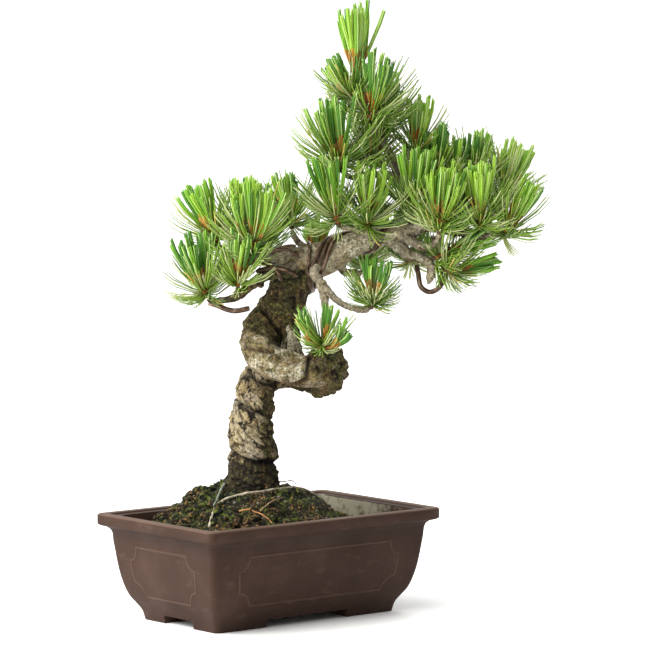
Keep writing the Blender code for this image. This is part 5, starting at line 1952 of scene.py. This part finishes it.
def needle_piece(name, needles, material):
    """All needles of one colour as one mesh of slim, bent, three-sided blades with blunt tips."""
    start, way, bend, length, width, out = (np.array(values) for values in zip(*needles))
    length = length[:, None]
    width = width[:, None]
    flank = np.cross(way, out)
    flank /= np.linalg.norm(flank, axis=1)[:, None]
    rings = []
    for t, wide in NEEDLE_PROFILE:
        centre = start + way * length * t + bend * length * t * t
        for angle in NEEDLE_CORNERS:
            corner = out * math.cos(angle) * NEEDLE_THICKNESS + flank * math.sin(angle)
            rings.append(centre + corner * width * wide / 2)
    rings.append(start + way * length + bend * length)
    verts = np.stack(rings, axis=1)
    each = verts.shape[1]
    sides = len(NEEDLE_CORNERS)
    pattern = [(2, 1, 0)]
    for row in range(len(NEEDLE_PROFILE) - 1):
        for k in range(sides):
            low, after = row * sides + k, row * sides + (k + 1) % sides
            pattern += [(low, after, after + sides), (low, after + sides, low + sides)]
    last = (len(NEEDLE_PROFILE) - 1) * sides
    pattern += [(last + k, last + (k + 1) % sides, each - 1) for k in range(sides)]
    offsets = np.arange(len(needles))[:, None, None] * each
    triangles = (np.array(pattern)[None] + offsets).reshape(-1, 3)
    mesh = bpy.data.meshes.new(name)
    mesh.vertices.add(verts.shape[0] * each)
    mesh.vertices.foreach_set("co", verts.astype(np.float32).ravel())
    mesh.loops.add(triangles.size)
    mesh.loops.foreach_set("vertex_index", triangles.astype(np.int32).ravel())
    mesh.polygons.add(len(triangles))
    mesh.polygons.foreach_set("loop_start", np.arange(0, triangles.size, 3, dtype=np.int32))
    mesh.update(calc_edges=True)
    mesh.validate()
    piece = keep_piece(name, mesh, material)
    return piece


def build_twigs(settings):
    """The short stems that carry the tufts, the orange-brown candles and their papery scales."""
    growth = grown(settings)
    for name, lines, material in (
        ("tuft_stems", growth.stems, dry_fibre("twig bark", "2c1e15", "6a5039")),
        ("candle_stems", growth.candles, dry_fibre("candle skin", "7a4420", "b9773a")),
    ):
        all_verts, all_faces = [], []
        for points, wide, narrow in lines:
            rows = [(*point, 0) for point in points]
            path = smooth_path(rows, 2 * MM)
            bumps = 1 + 0.12 * np.sin(np.arange(len(path)) * 2.1)
            radii = np.linspace(wide, narrow, len(path)) * bumps
            join(all_verts, all_faces, *swept(path[:, :3], radii, TWIG_SIDES))
        piece = mesh_piece(name, all_verts, all_faces, material)
    verts, faces = [], []
    for spot, way in growth.scales:
        side = way.orthogonal().normalized() * SCALE_HALF_WIDTH
        over = way.cross(side).normalized() * SCALE_THICKNESS
        corners = [spot + side, spot - side, spot + over, spot + way * SCALE_LENGTH]
        join(verts, faces, corners, ((2, 1, 0), (0, 1, 3), (1, 2, 3), (2, 0, 3)))
    papery = dry_fibre("bud scale", "8a4a1e", "c98a48")
    piece = mesh_piece("bud_scales", verts, faces, papery, smooth=False)


def build_needles(settings, kind):
    """The needles of one kind, or the sheaths at their feet, one piece for each colour."""
    growth = grown(settings)
    colours, sprays = {
        "sheath": (SHEATH_BROWNS, growth.sheaths),
        "new": (NEW_GREENS, growth.new),
        "old": (OLD_GREENS, growth.old),
    }[kind]
    made = []
    for (name, colour, roughness), needles in zip(colours, sprays):
        material = plain(name, colour, roughness)
        pieces = max(1, math.ceil(len(needles) / MOST_NEEDLES))
        for k in range(pieces):
            label = name.replace(" ", "_") + ("" if pieces == 1 else "_" + "abcdef"[k])
            made.append(needle_piece(label, needles[k::pieces], material))
    return made


def aimed(obj, at):
    obj.rotation_euler = (at - obj.location).to_track_quat("-Z", "Y").to_euler()


def soft_light(name, right, back, up, size, power, colour):
    """A large soft panel of light, aimed at the middle of the plant."""
    lamp = bpy.data.lights.new(name, "AREA")
    lamp.shape = "SQUARE"
    lamp.size = size
    lamp.energy = power
    lamp.color = linear(colour)[:3]
    obj = linked(name, lamp)
    obj.location = placed(right, back, up)
    aimed(obj, placed(0.03, 0, 0.2))


def even_sky(strength):
    """A white sky that darkens towards the side where no light stands."""
    world = bpy.data.worlds.new("studio")
    world.use_nodes = True
    tree = world.node_tree
    where = add(tree, "ShaderNodeTexCoord").outputs["Generated"]
    dark_side = from_front(*SKY_DARK_SIDE).normalized()
    turned = add(
        tree, "ShaderNodeVectorMath", {0: where, 1: dark_side}, operation="DOT_PRODUCT"
    ).outputs["Value"]
    colour = ramp(tree, turned, ((0.05, "ffffff"), (0.85, SKY_SHADE)))
    sky = tree.nodes["Background"]
    sky.inputs["Strength"].default_value = strength
    tree.links.new(colour, sky.inputs["Color"])
    return world


def build_stage(settings):
    """The pale floor, soft studio lights and the camera at the photograph's angle."""
    bm = bmesh.new()
    bmesh.ops.create_grid(bm, x_segments=8, y_segments=8, size=FLOOR_HALF)
    floor = linked("pale_floor", mesh_of("pale_floor", bm))
    floor.data.materials.append(pale_backdrop())
    for light in LIGHTS:
        soft_light(*light)
    lamp = bpy.data.lights.new("sun_light", "SUN")
    lamp.energy = settings.sun_strength
    lamp.angle = SUN_SOFTNESS
    sun = linked("sun_light", lamp)
    sun.location = placed(*SUN_PLACE)
    aimed(sun, placed(0, 0, 0))
    bpy.context.scene.world = even_sky(settings.sky_strength)
    bpy.context.scene.view_settings.view_transform = "Standard"
    target = placed(*CAMERA_TARGET)
    elevation = math.radians(CAMERA_ELEVATION)
    away = from_front(0, -math.cos(elevation), 0) + UP * math.sin(elevation)
    lens = bpy.data.cameras.new("photo_camera")
    lens.lens = CAMERA_LENS
    lens.clip_end = 4 * FLOOR_HALF
    camera = linked("photo_camera", lens)
    camera.location = target + away * CAMERA_DISTANCE
    aimed(camera, target)
    bpy.context.scene.camera = camera


class BonsaiSettings(bpy.types.PropertyGroup):
    """Sizes and counts that change the plant's look."""

    foot_softness: FloatProperty(
        name="Foot softness", description="Rounding of the edges of the pot's feet",
        default=0.0005, min=0.0, max=0.002, subtype="DISTANCE", unit="LENGTH",
    )
    line_radius: FloatProperty(
        name="Panel line", description="Half the width of the raised lines on the pot",
        default=0.0011, min=0.0002, max=0.003, subtype="DISTANCE", unit="LENGTH",
    )
    moss_shoots: IntProperty(
        name="Moss shoots", description="How many places on the soil may bear a moss shoot",
        default=15000, min=0, max=40000,
    )
    grit_grains: IntProperty(
        name="Grit grains", description="How many crumbs lie on the soil",
        default=1100, min=0, max=6000,
    )
    candles: IntProperty(
        name="Candles", description="New shoots on each small tuft; a large one has one more",
        default=3, min=1, max=9,
    )
    new_bundles: IntProperty(
        name="New bundles", description="Bundles of needles on each candle",
        default=5, min=1, max=30,
    )
    old_bundles: IntProperty(
        name="Old bundles", description="Older bundles of needles round the foot of each tuft",
        default=26, min=0, max=120,
    )


class StudioSettings(bpy.types.PropertyGroup):
    """The light round the plant."""

    sky_strength: FloatProperty(
        name="Sky strength", description="Brightness of the even light from all round",
        default=1.0, min=0.0, max=5.0,
    )
    sun_strength: FloatProperty(
        name="Sun strength", description="Brightness of the soft light from the left",
        default=3.0, min=0.0, max=20.0,
    )


class BONSAI_OT_pot(bpy.types.Operator):
    """Build the clay pot with its lip, feet and panel lines"""

    bl_idname = "bonsai.pot"
    bl_label = "Pot"

    def execute(self, context):
        build_pot(context.scene.bonsai)
        return {"FINISHED"}


class BONSAI_OT_soil(bpy.types.Operator):
    """Build the mossy mound with its moss, grit, roots and fallen twigs"""

    bl_idname = "bonsai.soil"
    bl_label = "Soil"

    def execute(self, context):
        build_mound()
        build_moss(context.scene.bonsai)
        build_grit(context.scene.bonsai)
        build_clods()
        build_roots()
        return {"FINISHED"}


class BONSAI_OT_trunk(bpy.types.Operator):
    """Build the trunk with its plated bark and snags"""

    bl_idname = "bonsai.trunk"
    bl_label = "Trunk"

    def execute(self, context):
        build_trunk()
        return {"FINISHED"}


class BONSAI_OT_boughs(bpy.types.Operator):
    """Build the boughs and side twigs with their bark"""

    bl_idname = "bonsai.boughs"
    bl_label = "Boughs"

    def execute(self, context):
        build_boughs()
        return {"FINISHED"}


class BONSAI_OT_wires(bpy.types.Operator):
    """Wind the training wires round the limbs"""

    bl_idname = "bonsai.wires"
    bl_label = "Wires"

    def execute(self, context):
        build_wires()
        return {"FINISHED"}


class BONSAI_OT_twigs(bpy.types.Operator):
    """Grow the tufts' stems, candles and bud scales"""

    bl_idname = "bonsai.twigs"
    bl_label = "Twigs"

    def execute(self, context):
        build_twigs(context.scene.bonsai)
        return {"FINISHED"}


class BONSAI_OT_sheaths(bpy.types.Operator):
    """Wrap the feet of the new bundles in papery brown sheaths"""

    bl_idname = "bonsai.sheaths"
    bl_label = "Sheaths"

    def execute(self, context):
        build_needles(context.scene.bonsai, "sheath")
        return {"FINISHED"}


class BONSAI_OT_new_needles(bpy.types.Operator):
    """Grow this year's bright needles on the candles"""

    bl_idname = "bonsai.new_needles"
    bl_label = "New needles"

    def execute(self, context):
        pieces = build_needles(context.scene.bonsai, "new")
        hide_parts(*TUFTS)
        return {"FINISHED"}


class BONSAI_OT_old_needles(bpy.types.Operator):
    """Grow the older, splayed needles below the candles"""

    bl_idname = "bonsai.old_needles"
    bl_label = "Old needles"

    def execute(self, context):
        build_needles(context.scene.bonsai, "old")
        return {"FINISHED"}


class BONSAI_OT_stage(bpy.types.Operator):
    """Set the floor, the lights and the camera"""

    bl_idname = "bonsai.stage"
    bl_label = "Stage"

    def execute(self, context):
        build_stage(context.scene.bonsai_studio)
        return {"FINISHED"}


STEPS = (
    BONSAI_OT_pot,
    BONSAI_OT_soil,
    BONSAI_OT_trunk,
    BONSAI_OT_boughs,
    BONSAI_OT_wires,
    BONSAI_OT_twigs,
    BONSAI_OT_sheaths,
    BONSAI_OT_new_needles,
    BONSAI_OT_old_needles,
    BONSAI_OT_stage,
)


class BONSAI_PT_panel(bpy.types.Panel):
    """Lists the plant's settings and the steps that build it."""

    bl_label = "White pine bonsai"
    bl_idname = "BONSAI_PT_panel"
    bl_space_type = "VIEW_3D"
    bl_region_type = "UI"
    bl_category = "Bonsai"

    def draw(self, context):
        layout = self.layout
        for group in (context.scene.bonsai, context.scene.bonsai_studio):
            for name in group.bl_rna.properties.keys():
                if name not in ("rna_type", "name"):
                    layout.prop(group, name)
        for step in STEPS:
            layout.operator(step.bl_idname)


CLASSES = (BonsaiSettings, StudioSettings, *STEPS, BONSAI_PT_panel)


def register():
    noise.seed_set(SEED)  # noise vectors are seeded by the clock otherwise
    for cls in CLASSES:
        bpy.utils.register_class(cls)
    bpy.types.Scene.bonsai = PointerProperty(type=BonsaiSettings)
    bpy.types.Scene.bonsai_studio = PointerProperty(type=StudioSettings)


def unregister():
    del bpy.types.Scene.bonsai_studio
    del bpy.types.Scene.bonsai
    for cls in reversed(CLASSES):
        bpy.utils.unregister_class(cls)


def main():
    register()
    for step in STEPS:
        group, name = step.bl_idname.split(".")
        getattr(getattr(bpy.ops, group), name)()


if __name__ == "__main__":
    main()
